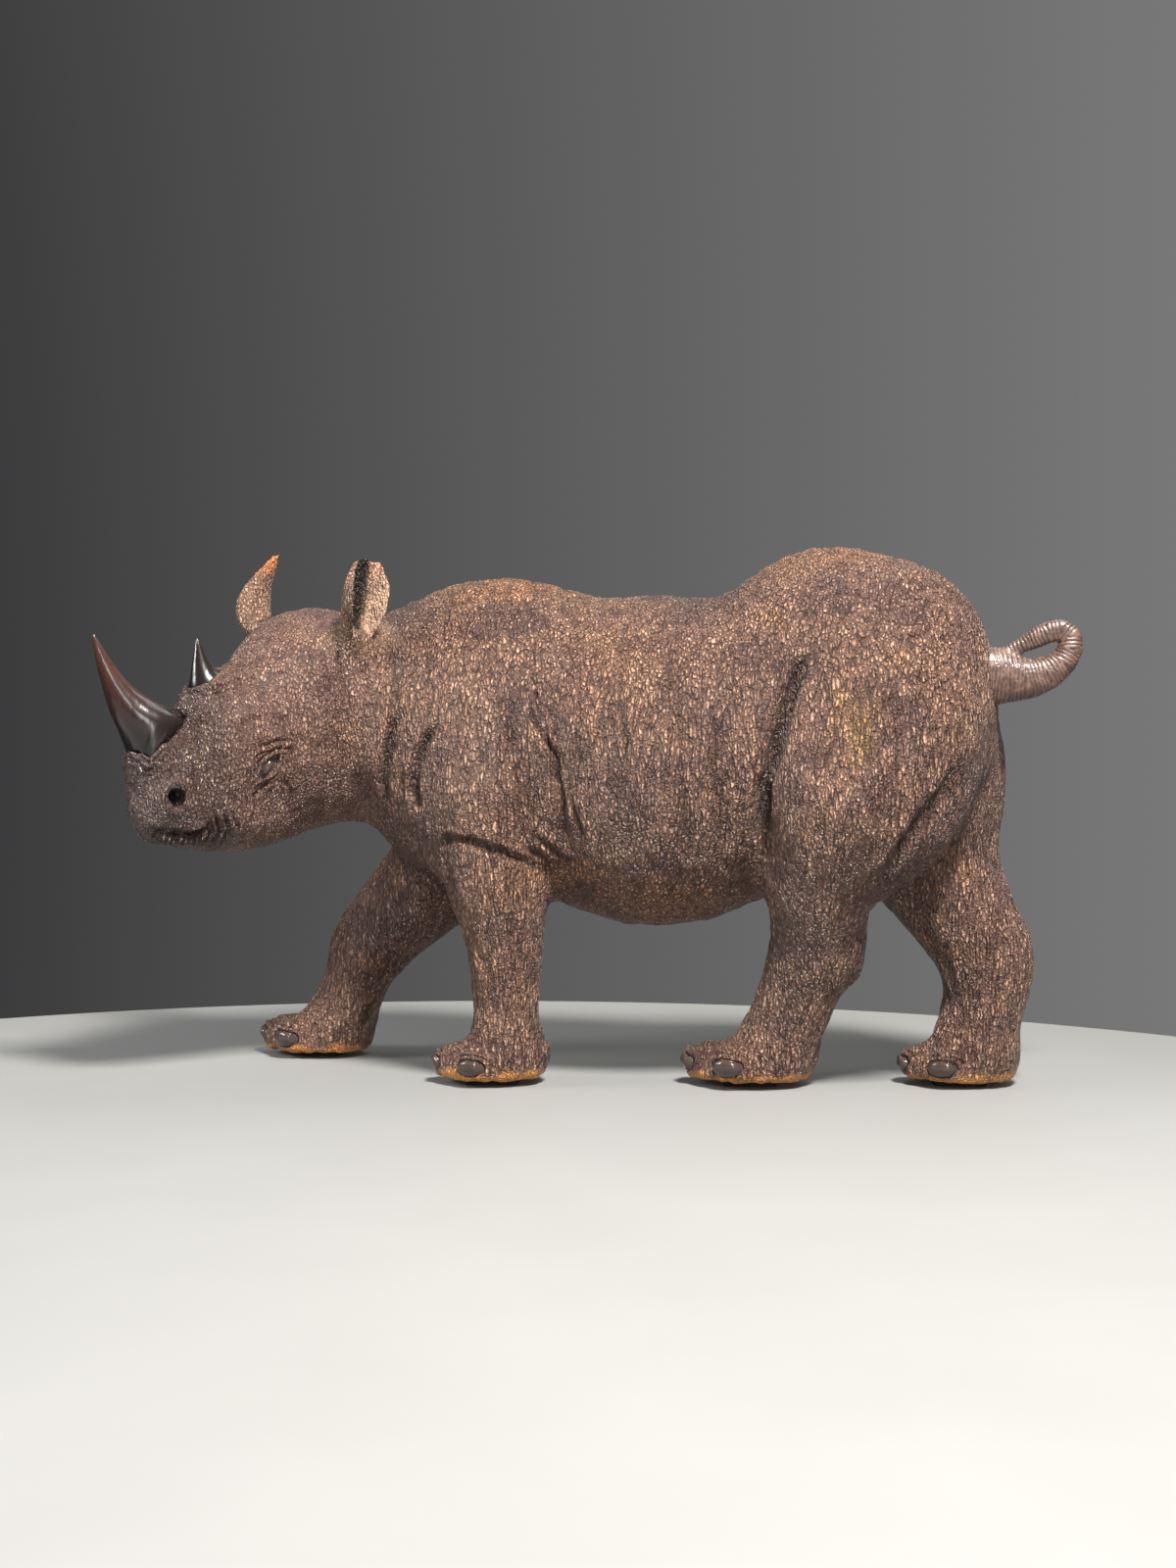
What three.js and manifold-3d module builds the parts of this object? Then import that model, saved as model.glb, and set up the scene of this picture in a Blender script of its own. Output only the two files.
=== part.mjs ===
// A walking rhinoceros in dark carved wood, about 60 cm long, with its head turned to its left.
// The beast faces -X, its left flank faces -Y, and it stands on four thin pads on the plane z = 0.
// Trunk, head, ears and legs are one carving. The two polished horns and the coiled tail are let
// into it, and a pad is stuck under each foot.

import * as THREE from "three";
import { mergeVertices } from "three/addons/utils/BufferGeometryUtils.js";
import Module from "manifold-3d";

const wasm = await Module();
wasm.setup();

// Driving dimensions, in millimetres.
const figureLength = 620; // horn tip to tail loop, were the head looking straight ahead
const seatGap = 0.3; // air between a let-in piece and its socket, and between pad and sole
const hornSeatDepth = 5; // how deep a horn's root stands in the head
const tailSeatDepth = 5; // how deep the tail's root stands in the rump
const padThickness = 3;
const padLength = 32;
const padWidth = 22;
const padCornerRadius = 4;
const carvingStep = 4; // spacing of the grid that the carving is sampled on
const carvingTriangles = 4900; // faces left on the carving

// The free form is carved in shares of the length: every place and radius in the tables below is
// in thousandths of figureLength, with x towards the tail, y to the beast's right and z up.
const share = figureLength / 1000;
const soleHeight = (padThickness + seatGap) / share;

const earWall = 2.6;
const earRings = 9;
const earColumns = 8;
const earCurl = { front: [150, 140, 128, 118, 108, 96], back: [150, 124, 100, 84, 76, 66] };
const earPlans = {
  left: {
    spine: [[34, 80, -42], [34, 100, -14], [32, 111, 16], [28, 108, 45]],
    radii: [13, 19, 26, 29, 27, 17],
    flatten: 0.85,
    open: 92,
  },
  right: {
    spine: [[36, 80, -42], [48, 102, -14], [45, 110, 20], [23, 100, 63]],
    radii: [13, 19, 23, 22, 15, 5],
    flatten: 0.8,
    open: 70,
  },
};
const eyePlan = {
  at: [117, -159],
  slant: 58,
  socket: { radii: [15, 8, 6], sunk: -1 },
  ball: { radii: [12, 6.5, 5.5], sunk: 4 },
};
const nostrilPlan = { at: [205, -187], radii: [8, 6, 9] };
const mouthPlan = { at: [203, -220], slant: 13, radii: [32, 3, 13], sunk: 1 };
const beadSides = 8;
const hornSides = 16;

// A horn's rings from root to tip: each runs from a front point to a back point on the head's own
// plane, with its half width to the side. The front horn straddles the nose like a saddle.
const frontHornPlan = [
  { front: [227, -161], back: [221, -161], half: 22 },
  { front: [236, -142], back: [206, -141], half: 28 },
  { front: [246, -122], back: [176, -111], half: 31 },
  { front: [252, -112], back: [191, -102], half: 27 },
  { front: [257, -100], back: [208, -95], half: 21 },
  { front: [261, -87], back: [227, -86], half: 16 },
  { front: [265, -73], back: [243, -71], half: 11 },
  { front: [269, -59], back: [254, -57], half: 7.5 },
  { front: [272, -44], back: [263, -43], half: 4.5 },
  { front: [273, -30], back: [271, -30], half: 1 },
];
const rearHornPlan = [
  { front: [172, -84], back: [133, -70], half: 18 },
  { front: [170.5, -72], back: [143, -64], half: 13 },
  { front: [169, -59], back: [151, -55], half: 8.5 },
  { front: [167, -46], back: [157, -44], half: 5 },
  { front: [165, -32], back: [163, -32], half: 1 },
];
const rumpFace = 376; // x of the rump's skin where the tail leaves it
const tailBreadth = 0.62;
const tailStep = 2.4;
const tailTriangles = 500;

// Colours, with the roughness of each finish.
const hide = new THREE.MeshStandardMaterial({ color: 0x6b4a3c, roughness: 0.62 });
const polishedHorn = new THREE.MeshStandardMaterial({ color: 0x2a1c18, roughness: 0.22 });
const wrappedTail = new THREE.MeshStandardMaterial({ color: 0x5a3a2a, roughness: 0.5 });
const blackPad = new THREE.MeshStandardMaterial({ color: 0x0c0c0c, roughness: 0.9 });

// Joins two distances with a fillet of about the given size.
function blend(a, b, fillet) {
  const h = Math.max(fillet - Math.abs(a - b), 0) / fillet;
  return Math.min(a, b) - (h * h * fillet) / 4;
}

// Distance to an ellipsoid, pitched nose-down by the given degrees about its own left-right axis.
function ellipsoid([cx, cy, cz], [rx, ry, rz], pitch = 0) {
  const c = Math.cos(THREE.MathUtils.degToRad(pitch));
  const s = Math.sin(THREE.MathUtils.degToRad(pitch));
  const reach = Math.max(rx, ry, rz);
  return (x, y, z, nearest) => {
    const dx = x - cx;
    const dy = y - cy;
    const dz = z - cz;
    const away = Math.hypot(dx, dy, dz) - reach;
    if (away > nearest) return away;
    const px = (c * dx + s * dz) / rx;
    const py = dy / ry;
    const pz = (c * dz - s * dx) / rz;
    const k0 = Math.hypot(px, py, pz);
    const k1 = Math.hypot(px / rx, py / ry, pz / rz);
    return k1 > 0 ? (k0 * (k0 - 1)) / k1 : -Math.min(rx, ry, rz);
  };
}

// Distance to a chain of round cones through points [x, y, z, radius]; breadth widens it sideways.
function limb(points, breadth = 1) {
  const links = points.slice(1).map((b, i) => {
    const a = points[i];
    const d = [b[0] - a[0], (b[1] - a[1]) / breadth, b[2] - a[2]];
    return { a, d, dr: b[3] - a[3], square: d[0] ** 2 + d[1] ** 2 + d[2] ** 2 };
  });
  const middle = [0, 1, 2].map((k) => points.reduce((t, p) => t + p[k], 0) / points.length);
  const extent = (p) => Math.hypot(p[0] - middle[0], p[1] - middle[1], p[2] - middle[2]) + p[3];
  const reach = Math.max(...points.map(extent)) * Math.max(breadth, 1);
  return (x, y, z, nearest) => {
    const away = Math.hypot(x - middle[0], y - middle[1], z - middle[2]) - reach;
    if (away > nearest) return away;
    let best = Infinity;
    for (const { a, d, dr, square } of links) {
      const px = x - a[0];
      const py = (y - a[1]) / breadth;
      const pz = z - a[2];
      const t = Math.min(1, Math.max(0, (px * d[0] + py * d[1] + pz * d[2]) / square));
      const gap = Math.hypot(px - t * d[0], py - t * d[1], pz - t * d[2]) - a[3] - t * dr;
      best = Math.min(best, gap);
    }
    return best;
  };
}

const farAway = 1e6; // stands for no surface yet

// Several masses as one, filleted together.
function cluster(masses, fillet) {
  return (x, y, z, nearest = Infinity) => {
    let d = Infinity;
    for (const mass of masses) {
      d = blend(Math.min(d, farAway), mass(x, y, z, Math.min(d, nearest) + fillet), fillet);
    }
    return d;
  };
}

// How deep a gouge of unit depth cuts at a distance from its line, both in thousandths.
function gouge(distance, width) {
  const t = distance / width;
  return t > 3 ? 0 : Math.exp(-t * t);
}

// Distance from a point to a polyline drawn on a plane, with how far along it the nearest point is.
function toLine(u, v, line) {
  let best = Infinity;
  let along = 0;
  for (let i = 1; i < line.length; i++) {
    const [au, av] = line[i - 1];
    const du = line[i][0] - au;
    const dv = line[i][1] - av;
    const t = Math.min(1, Math.max(0, ((u - au) * du + (v - av) * dv) / (du * du + dv * dv)));
    const gap = Math.hypot(u - au - t * du, v - av - t * dv);
    if (gap < best) {
      best = gap;
      along = (i - 1 + t) / (line.length - 1);
    }
  }
  return [best, along];
}

const midline = 15; // the trunk's plane of symmetry

// Trunk: ribs, barrel, pelvis and the two humps of the back.
const trunk = cluster(
  [
    ellipsoid([-110, midline, 345], [145, 112, 140]),
    ellipsoid([40, midline, 320], [190, 128, 166]),
    ellipsoid([-120, midline, 412], [104, 68, 88]),
    ellipsoid([226, midline, 362], [150, 116, 146]),
    ellipsoid([216, midline, 440], [92, 60, 88]),
    ellipsoid([296, midline, 424], [66, 66, 76]),
    ellipsoid([-196, midline, 288], [54, 70, 74]),
  ],
  46,
);

const tailSpine = [
  [361, midline, 405, 29.5],
  [374, midline, 403, 28.5],
  [389, midline, 401, 24],
  [408, midline, 400, 19.7],
  [426, midline, 406, 16.7],
  [440, midline, 416, 13.8],
  [447, midline, 429, 12.3],
  [447, midline, 441, 11.3],
  [438, midline, 448, 10.8],
  [426, midline, 445, 11.3],
  [414, midline, 439, 10.5],
  [402, midline, 433, 7.9],
  [389, midline, 427, 6.9],
  [374, midline, 421, 6.4],
];

// Shoulder blades and thighs stand proud of the trunk. The left thigh leans forwards over its
// leg and the right one backwards, as the beast strides.
const quarters = [
  ellipsoid([-140, midline - 62, 325], [84, 58, 118], -8),
  ellipsoid([-140, midline + 62, 325], [84, 58, 118], -8),
  ellipsoid([270, midline - 60, 314], [92, 62, 124], -14),
  ellipsoid([284, midline + 58, 308], [100, 62, 124], 8),
];

const neck = limb(
  [
    [-180, 10, 365, 116],
    [-238, -14, 366, 100],
    [-285, -40, 384, 80],
  ],
  0.92,
);

// One leg: the masses above the foot, then the foot's place and the way that its toes point.
const legs = {
  front_left: {
    bones: [
      [-112, -55, 280, 66],
      [-102, -60, 200, 52],
      [-97, -58, 150, 40],
      [-96, -54, 80, 33],
      [-98, -53, 45, 34],
    ],
    knobs: [],
    foot: { at: [-111, -52], heading: 14, size: 0.96 },
  },
  front_right: {
    bones: [
      [-150, 78, 285, 66],
      [-210, 82, 198, 58],
      [-277, 82, 132, 44],
      [-300, 80, 85, 35],
      [-318, 78, 48, 33],
    ],
    knobs: [ellipsoid([-296, 82, 118], [32, 32, 32])],
    foot: { at: [-345, 78], heading: 0, size: 1.04 },
  },
  hind_left: {
    bones: [
      [236, -42, 280, 78],
      [214, -34, 205, 54],
      [208, -20, 150, 44],
      [190, -8, 95, 38],
      [172, -2, 55, 38],
    ],
    knobs: [ellipsoid([234, -16, 134], [22, 24, 30])],
    foot: { at: [140, 0], heading: 10, size: 1.08 },
  },
  hind_right: {
    bones: [
      [285, 68, 280, 78],
      [320, 62, 205, 60],
      [360, 54, 140, 48],
      [368, 54, 92, 40],
      [356, 53, 50, 40],
    ],
    knobs: [ellipsoid([388, 54, 122], [22, 26, 30])],
    foot: { at: [341, 52], heading: 10, size: 0.99 },
  },
};

// A foot is a heel, three toes and their nails, laid out around its middle.
const footPlan = {
  sole: { drop: 10, radii: [58, 44, 22] },
  heel: { back: 22, height: 26, radii: [38, 38, 30] },
  toes: [
    { turn: 0, reach: 31, radii: [31, 21, 21] },
    { turn: 62, reach: 22, radii: [30, 20, 22] },
    { turn: -62, reach: 22, radii: [30, 20, 22] },
  ],
  nail: { reach: 27, height: 18, radii: [6, 15, 9] },
  cleft: { turn: 104, reach: 44, height: 24, radii: [9, 3, 20] },
};

// Distance to an ellipsoid that stands upright and is turned by an angle about the vertical.
function turnedEllipsoid([cx, cy, cz], radii, angle) {
  const [c, s] = [Math.cos(angle), Math.sin(angle)];
  const own = ellipsoid([0, 0, 0], radii);
  return (x, y, z, nearest) => {
    const dx = x - cx;
    const dy = y - cy;
    return own(c * dx + s * dy, c * dy - s * dx, z - cz, nearest);
  };
}

function foot({ at, heading, size }) {
  const { sole, heel, toes } = footPlan;
  const put = (degrees, reach, height, radii) => {
    const angle = THREE.MathUtils.degToRad(heading + degrees);
    const x = at[0] - Math.cos(angle) * reach * size;
    const y = at[1] - Math.sin(angle) * reach * size;
    return turnedEllipsoid([x, y, soleHeight + height * size], radii.map((r) => r * size), angle);
  };
  return cluster(
    [
      put(0, 0, sole.drop, sole.radii),
      put(0, -heel.back, heel.height, heel.radii),
      ...toes.map((toe) => put(toe.turn, toe.reach, toe.radii[2] * 0.75, toe.radii)),
    ],
    7,
  );
}

const limbs = Object.values(legs).map((leg) => {
  const bones = cluster([limb(leg.bones), ...leg.knobs], 20);
  const toes = foot(leg.foot);
  return (x, y, z, nearest) => blend(bones(x, y, z, nearest), toes(x, y, z, nearest), 18);
});

// The head has its own frame: a forwards from the poll, b to the beast's left, h up from the poll.
const poll = [-283, -10, 474];
const headTurn = THREE.MathUtils.degToRad(50);
const [turnCos, turnSin] = [Math.cos(headTurn), Math.sin(headTurn)];

function toHead(x, y, z) {
  const dx = x - poll[0];
  const dy = y - poll[1];
  return [-turnCos * dx - turnSin * dy, turnSin * dx - turnCos * dy, z - poll[2]];
}

const skull = cluster(
  [
    ellipsoid([40, 0, -88], [86, 82, 88]),
    ellipsoid([44, 0, -140], [94, 78, 84], 0),
    ellipsoid([112, 0, -138], [80, 64, 78]),
    ellipsoid([174, 0, -182], [54, 47, 50]),
    ellipsoid([204, 0, -204], [29, 33, 26]),
    ellipsoid([126, 0, -208], [76, 42, 37]),
    ellipsoid([197, 0, -155], [40, 34, 28]),
    ellipsoid([146, 0, -100], [30, 28, 24]),
    ellipsoid([206, 0, -142], [26, 24, 26]),
  ],
  24,
);

function fromHead(a, b, h) {
  return [poll[0] - turnCos * a + turnSin * b, poll[1] - turnSin * a - turnCos * b, poll[2] + h];
}

// Each ear grows from a short stalk.
const stalks = [1, -1].map((side) =>
  limb([
    [22, side * 54, -52, 30],
    [38, side * 80, -32, 17],
  ]),
);

function head(x, y, z, nearest) {
  const [a, b, h] = toHead(x, y, z);
  const away = Math.hypot(a - 80, b, h + 90) - 260;
  if (away > nearest) return away;
  let d = skull(a, b, h);
  for (const stalk of stalks) d = blend(d, stalk(a, b, h, d + 16), 16);
  return d;
}

// Folds of the hide, drawn on the side of the beast as x and z. Both flanks have them.
const flankFolds = [
  { line: [[-178, 377], [-196, 333], [-202, 297], [-203, 259]], width: 10, depth: 5 },
  { line: [[-152, 361], [-163, 325], [-172, 294], [-170, 270]], width: 10, depth: 6 },
  { line: [[-152, 241], [-119, 242], [-82, 230], [-24, 214]], width: 9, depth: 4 },
  { line: [[-59, 405], [-36, 332], [-21, 272], [-7, 220]], width: 11, depth: 3 },
  { line: [[212, 429], [204, 410], [184, 345], [170, 296], [170, 254], [173, 211]], width: 11, depth: 12 },
  { line: [[-210, 437], [-236, 336], [-251, 269]], width: 12, depth: 6 },
];

// Furrows of the face, drawn on its side as a and h.
const faceFurrows = [
  { line: [[172, -212], [163, -224], [166, -240]], width: 6, depth: 3 },
  { line: [[134, -152], [117, -143], [92, -138]], width: 5, depth: 3 },
  { line: [[130, -140], [116, -132], [96, -130]], width: 8, depth: -3 },
  { line: [[140, -184], [128, -174], [118, -166]], width: 5, depth: 3 },
];

function furrowDepth(furrows, u, v) {
  let depth = 0;
  for (const { line, width, depth: deepest } of furrows) {
    const [gap, along] = toLine(u, v, line);
    const fade = Math.min(1, 5 * along, 5 * (1 - along));
    depth += deepest * fade * gouge(gap, width);
  }
  return depth;
}

// The whole carving as one distance, negative inside.
function carving(x, y, z) {
  let d = trunk(x, y, z);
  for (const quarter of quarters) d = blend(d, quarter(x, y, z, d + 34), 34);
  for (const leg of limbs) d = blend(d, leg(x, y, z, d + 26), 26);
  d = blend(d, neck(x, y, z, d + 40), 40);
  d = blend(d, head(x, y, z, d + 20), 20);
  if (Math.abs(d) > 20) return d;
  const outward = Math.min(1, Math.max(0, (Math.abs(y - midline) - 55) / 20));
  if (outward > 0) d += outward * furrowDepth(flankFolds, x, z);
  const [a, , h] = toHead(x, y, z);
  if (a > 60) d += furrowDepth(faceFurrows, a, h);
  return d;
}

// The six tetrahedra that share a grid cell's long diagonal; a corner's bits are its x, y and z.
const cellTetrahedra = [
  [0, 1, 3, 7],
  [0, 3, 2, 7],
  [0, 2, 6, 7],
  [0, 6, 4, 7],
  [0, 4, 5, 7],
  [0, 5, 1, 7],
];

// For each pattern of inside corners, the corners in an even order with the inside ones first.
const tetrahedronCases = Array.from({ length: 16 }, (_, pattern) => {
  const inside = [0, 1, 2, 3].filter((i) => pattern & (1 << i));
  const outside = [0, 1, 2, 3].filter((i) => !(pattern & (1 << i)));
  const order = [...inside, ...outside];
  let swaps = 0;
  order.forEach((v, i) => order.slice(i + 1).forEach((w) => (swaps += v > w ? 1 : 0)));
  if (swaps % 2) {
    const k = inside.length >= 2 ? 0 : 2;
    [order[k], order[k + 1]] = [order[k + 1], order[k]];
  }
  return { order, count: inside.length };
});

// Samples a distance on a grid and returns its zero surface as a closed triangle mesh.
function polygonise(distance, low, high, step) {
  const counts = low.map((v, k) => Math.ceil((high[k] - v) / step) + 1);
  const [nx, ny, nz] = counts;
  const values = new Float32Array(nx * ny * nz);
  const block = 6;
  const blockRadius = (block * step * Math.sqrt(3)) / 2;
  for (let k0 = 0; k0 < nz; k0 += block) {
    for (let j0 = 0; j0 < ny; j0 += block) {
      for (let i0 = 0; i0 < nx; i0 += block) {
        const middle = [i0, j0, k0].map((n, axis) => low[axis] + (n + block / 2) * step);
        const coarse = distance(...middle);
        const near = Math.abs(coarse) < blockRadius * 1.6;
        for (let k = k0; k < Math.min(k0 + block, nz); k++) {
          for (let j = j0; j < Math.min(j0 + block, ny); j++) {
            for (let i = i0; i < Math.min(i0 + block, nx); i++) {
              values[i + nx * (j + ny * k)] = near
                ? distance(low[0] + i * step, low[1] + j * step, low[2] + k * step)
                : coarse;
            }
          }
        }
      }
    }
  }
  const offsets = Array.from({ length: 8 }, (_, c) => (c & 1) + nx * (((c >> 1) & 1) + ny * (c >> 2)));
  const points = [];
  const triangles = [];
  const known = new Map();
  const crossing = (base, a, b) => {
    const [lower, upper] = a < b ? [a, b] : [b, a];
    const from = base + offsets[lower];
    const key = from * 8 + (upper ^ lower);
    let index = known.get(key);
    if (index === undefined) {
      const va = values[from];
      const vb = values[base + offsets[upper]];
      const t = Math.min(0.92, Math.max(0.08, va / (va - vb)));
      const way = upper ^ lower;
      index = points.length / 3;
      points.push(
        low[0] + ((from % nx) + (way & 1) * t) * step,
        low[1] + ((Math.floor(from / nx) % ny) + ((way >> 1) & 1) * t) * step,
        low[2] + (Math.floor(from / (nx * ny)) + (way >> 2) * t) * step,
      );
      known.set(key, index);
    }
    return index;
  };
  for (let k = 0; k < nz - 1; k++) {
    for (let j = 0; j < ny - 1; j++) {
      for (let i = 0; i < nx - 1; i++) {
        const base = i + nx * (j + ny * k);
        let inside = 0;
        for (const offset of offsets) inside += values[base + offset] < 0 ? 1 : 0;
        if (inside === 0 || inside === 8) continue;
        for (const tetrahedron of cellTetrahedra) {
          let pattern = 0;
          tetrahedron.forEach((corner, n) => {
            if (values[base + offsets[corner]] < 0) pattern |= 1 << n;
          });
          const { order, count } = tetrahedronCases[pattern];
          const [p, q, r, s] = order.map((n) => tetrahedron[n]);
          const cut = (a, b) => crossing(base, a, b);
          if (count === 1) triangles.push(cut(p, q), cut(p, r), cut(p, s));
          if (count === 3) triangles.push(cut(s, p), cut(s, q), cut(s, r));
          if (count === 2) {
            const [e, f, g, h] = [cut(p, r), cut(p, s), cut(q, s), cut(q, r)];
            triangles.push(e, f, g, e, g, h);
          }
        }
      }
    }
  }
  return { points, triangles };
}

// A heap of possible edge collapses, the cheapest on top.
class CollapseHeap {
  items = [];

  push(item) {
    const { items } = this;
    let i = items.push(item) - 1;
    while (i > 0) {
      const parent = (i - 1) >> 1;
      if (items[parent].cost <= item.cost) break;
      items[i] = items[parent];
      i = parent;
    }
    items[i] = item;
  }

  pop() {
    const { items } = this;
    const top = items[0];
    const last = items.pop();
    if (items.length === 0) return top;
    let i = 0;
    for (;;) {
      let child = 2 * i + 1;
      if (child >= items.length) break;
      if (child + 1 < items.length && items[child + 1].cost < items[child].cost) child++;
      if (items[child].cost >= last.cost) break;
      items[i] = items[child];
      i = child;
    }
    items[i] = last;
    return top;
  }
}

// The doubled area vector of the triangle a, b, c, each given as [x, y, z].
function areaVector(a, b, c) {
  const ux = b[0] - a[0];
  const uy = b[1] - a[1];
  const uz = b[2] - a[2];
  const vx = c[0] - a[0];
  const vy = c[1] - a[1];
  const vz = c[2] - a[2];
  return [uy * vz - uz * vy, uz * vx - ux * vz, ux * vy - uy * vx];
}

function dotOf(a, b) {
  return a[0] * b[0] + a[1] * b[1] + a[2] * b[2];
}

const leastTurn = 0.04; // squared cosine of the most that a face may turn when an edge collapses

// Ten sums that give the squared distance from any place to a set of planes.
function addPlane(q, [nx, ny, nz], w, weight) {
  q[0] += nx * nx * weight;
  q[1] += nx * ny * weight;
  q[2] += nx * nz * weight;
  q[3] += nx * w * weight;
  q[4] += ny * ny * weight;
  q[5] += ny * nz * weight;
  q[6] += ny * w * weight;
  q[7] += nz * nz * weight;
  q[8] += nz * w * weight;
  q[9] += w * w * weight;
}

function planeError(q, r, x, y, z) {
  const squares = (q[0] + r[0]) * x * x + (q[4] + r[4]) * y * y + (q[7] + r[7]) * z * z;
  const mixed = (q[1] + r[1]) * x * y + (q[2] + r[2]) * x * z + (q[5] + r[5]) * y * z;
  const linear = (q[3] + r[3]) * x + (q[6] + r[6]) * y + (q[8] + r[8]) * z;
  return squares + 2 * (mixed + linear) + q[9] + r[9];
}

// The place with the least error for two sets of planes, drawn a little towards a middle point.
function leastErrorPlace(q, r, middle) {
  const pull = 1e-3 * (q[0] + r[0] + q[4] + r[4] + q[7] + r[7]);
  const [a, b, c] = [q[0] + r[0] + pull, q[1] + r[1], q[2] + r[2]];
  const [d, e, f] = [q[4] + r[4] + pull, q[5] + r[5], q[7] + r[7] + pull];
  const u = pull * middle[0] - q[3] - r[3];
  const v = pull * middle[1] - q[6] - r[6];
  const w = pull * middle[2] - q[8] - r[8];
  const [aa, ab, ac] = [d * f - e * e, c * e - b * f, b * e - c * d];
  const [bb, bc, cc] = [a * f - c * c, b * c - a * e, a * d - b * b];
  const determinant = a * aa + b * ab + c * ac;
  if (!(Math.abs(determinant) > 1e-12)) return middle;
  return [
    (aa * u + ab * v + ac * w) / determinant,
    (ab * u + bb * v + bc * w) / determinant,
    (ac * u + bc * v + cc * w) / determinant,
  ];
}

// Thins a closed mesh by collapsing the edges that change its shape least, after Garland and
// Heckbert: each vertex carries the summed squares of the distances to the planes around it.
function simplify({ points, triangles }, wanted) {
  const places = [];
  for (let i = 0; i < points.length; i += 3) places.push([points[i], points[i + 1], points[i + 2]]);
  const around = places.map(() => []);
  const planes = places.map(() => new Float64Array(10));
  const stamp = new Uint32Array(places.length);
  const faces = [];
  for (let t = 0; t < triangles.length; t += 3) {
    const face = [triangles[t], triangles[t + 1], triangles[t + 2]];
    const normal = areaVector(places[face[0]], places[face[1]], places[face[2]]);
    const size = Math.hypot(...normal);
    const unit = normal.map((n) => n / (size || 1));
    const from = places[face[0]];
    const offset = -(unit[0] * from[0] + unit[1] * from[1] + unit[2] * from[2]);
    for (const v of face) {
      around[v].push(faces.length);
      addPlane(planes[v], unit, offset, size);
    }
    faces.push(face);
  }
  const heap = new CollapseHeap();
  const propose = (a, b) => {
    const [p, q] = [places[a], places[b]];
    const length = (p[0] - q[0]) ** 2 + (p[1] - q[1]) ** 2 + (p[2] - q[2]) ** 2;
    const x = (p[0] + q[0]) / 2;
    const y = (p[1] + q[1]) / 2;
    const z = (p[2] + q[2]) / 2;
    const cost = planeError(planes[a], planes[b], x, y, z) + 1e-4 * length * length;
    heap.push({ cost, a, b, age: stamp[a] + stamp[b], exact: null });
  };
  const neighbours = (v) => {
    const found = [];
    for (const f of around[v]) {
      for (const w of faces[f]) if (w !== v && !found.includes(w)) found.push(w);
    }
    return found;
  };
  for (const [a, b, c] of faces) {
    if (a < b) propose(a, b);
    if (b < c) propose(b, c);
    if (c < a) propose(c, a);
  }
  const folds = (v, other, place) => {
    for (const f of around[v]) {
      const face = faces[f];
      if (face.includes(other)) continue;
      const [a, b, c] = [places[face[0]], places[face[1]], places[face[2]]];
      const moved = face.map((w) => (w === v ? place : places[w]));
      const before = areaVector(a, b, c);
      const after = areaVector(...moved);
      const dot = dotOf(before, after);
      const sizes = dotOf(before, before) * dotOf(after, after);
      if (dot <= 0 || dot * dot < leastTurn * sizes) return true;
    }
    return false;
  };
  let left = faces.length;
  while (left > wanted && heap.items.length) {
    const item = heap.pop();
    const { a, b } = item;
    if (item.age !== stamp[a] + stamp[b] || !around[a].length || !around[b].length) continue;
    if (!item.exact) {
      const [p, q] = [places[a], places[b]];
      const middle = [(p[0] + q[0]) / 2, (p[1] + q[1]) / 2, (p[2] + q[2]) / 2];
      item.exact = leastErrorPlace(planes[a], planes[b], middle);
      const length = (p[0] - q[0]) ** 2 + (p[1] - q[1]) ** 2 + (p[2] - q[2]) ** 2;
      item.cost = planeError(planes[a], planes[b], ...item.exact) + 1e-4 * length * length;
    }
    const shared = around[a].filter((f) => faces[f].includes(b));
    if (shared.length !== 2) continue;
    const ring = neighbours(b);
    if (neighbours(a).filter((v) => ring.includes(v)).length !== 2) continue;
    if (folds(a, b, item.exact) || folds(b, a, item.exact)) continue;
    for (const f of shared) {
      for (const v of faces[f]) around[v] = around[v].filter((g) => g !== f);
      faces[f] = null;
      left--;
    }
    for (const f of around[b]) {
      const face = faces[f];
      face[face.indexOf(b)] = a;
      around[a].push(f);
    }
    around[b] = [];
    places[a] = item.exact;
    for (let i = 0; i < 10; i++) planes[a][i] += planes[b][i];
    stamp[a]++;
    stamp[b]++;
    for (const v of neighbours(a)) propose(Math.min(a, v), Math.max(a, v));
  }
  const kept = faces.filter(Boolean);
  return { points: places.flat(), triangles: kept.flat() };
}

function geometryOf({ points, triangles }, scale = 1) {
  const geometry = new THREE.BufferGeometry();
  const places = points.map((v) => v * scale);
  geometry.setAttribute("position", new THREE.Float32BufferAttribute(places, 3));
  geometry.setIndex(triangles);
  return geometry;
}

// Turns a closed three.js geometry into a solid for cutting and joining, and back again.
function solidOf(geometry) {
  const bare = new THREE.BufferGeometry();
  bare.setAttribute("position", geometry.getAttribute("position"));
  if (geometry.index) bare.setIndex(geometry.index);
  const merged = mergeVertices(bare, 1e-4);
  return new wasm.Manifold(
    new wasm.Mesh({
      numProp: 3,
      vertProperties: merged.getAttribute("position").array,
      triVerts: new Uint32Array(merged.index.array),
    }),
  );
}

function geometryFrom(solid) {
  const { vertProperties, triVerts } = solid.getMesh();
  const geometry = new THREE.BufferGeometry();
  geometry.setAttribute("position", new THREE.BufferAttribute(vertProperties, 3));
  geometry.setIndex(new THREE.BufferAttribute(triVerts, 1));
  return geometry;
}

// A named piece, with flat faces that meet at edges as a chisel leaves them.
function piece(name, solid, material) {
  const geometry = geometryFrom(solid).toNonIndexed();
  geometry.computeVertexNormals();
  const mesh = new THREE.Mesh(geometry, material);
  mesh.name = name;
  return mesh;
}

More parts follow.
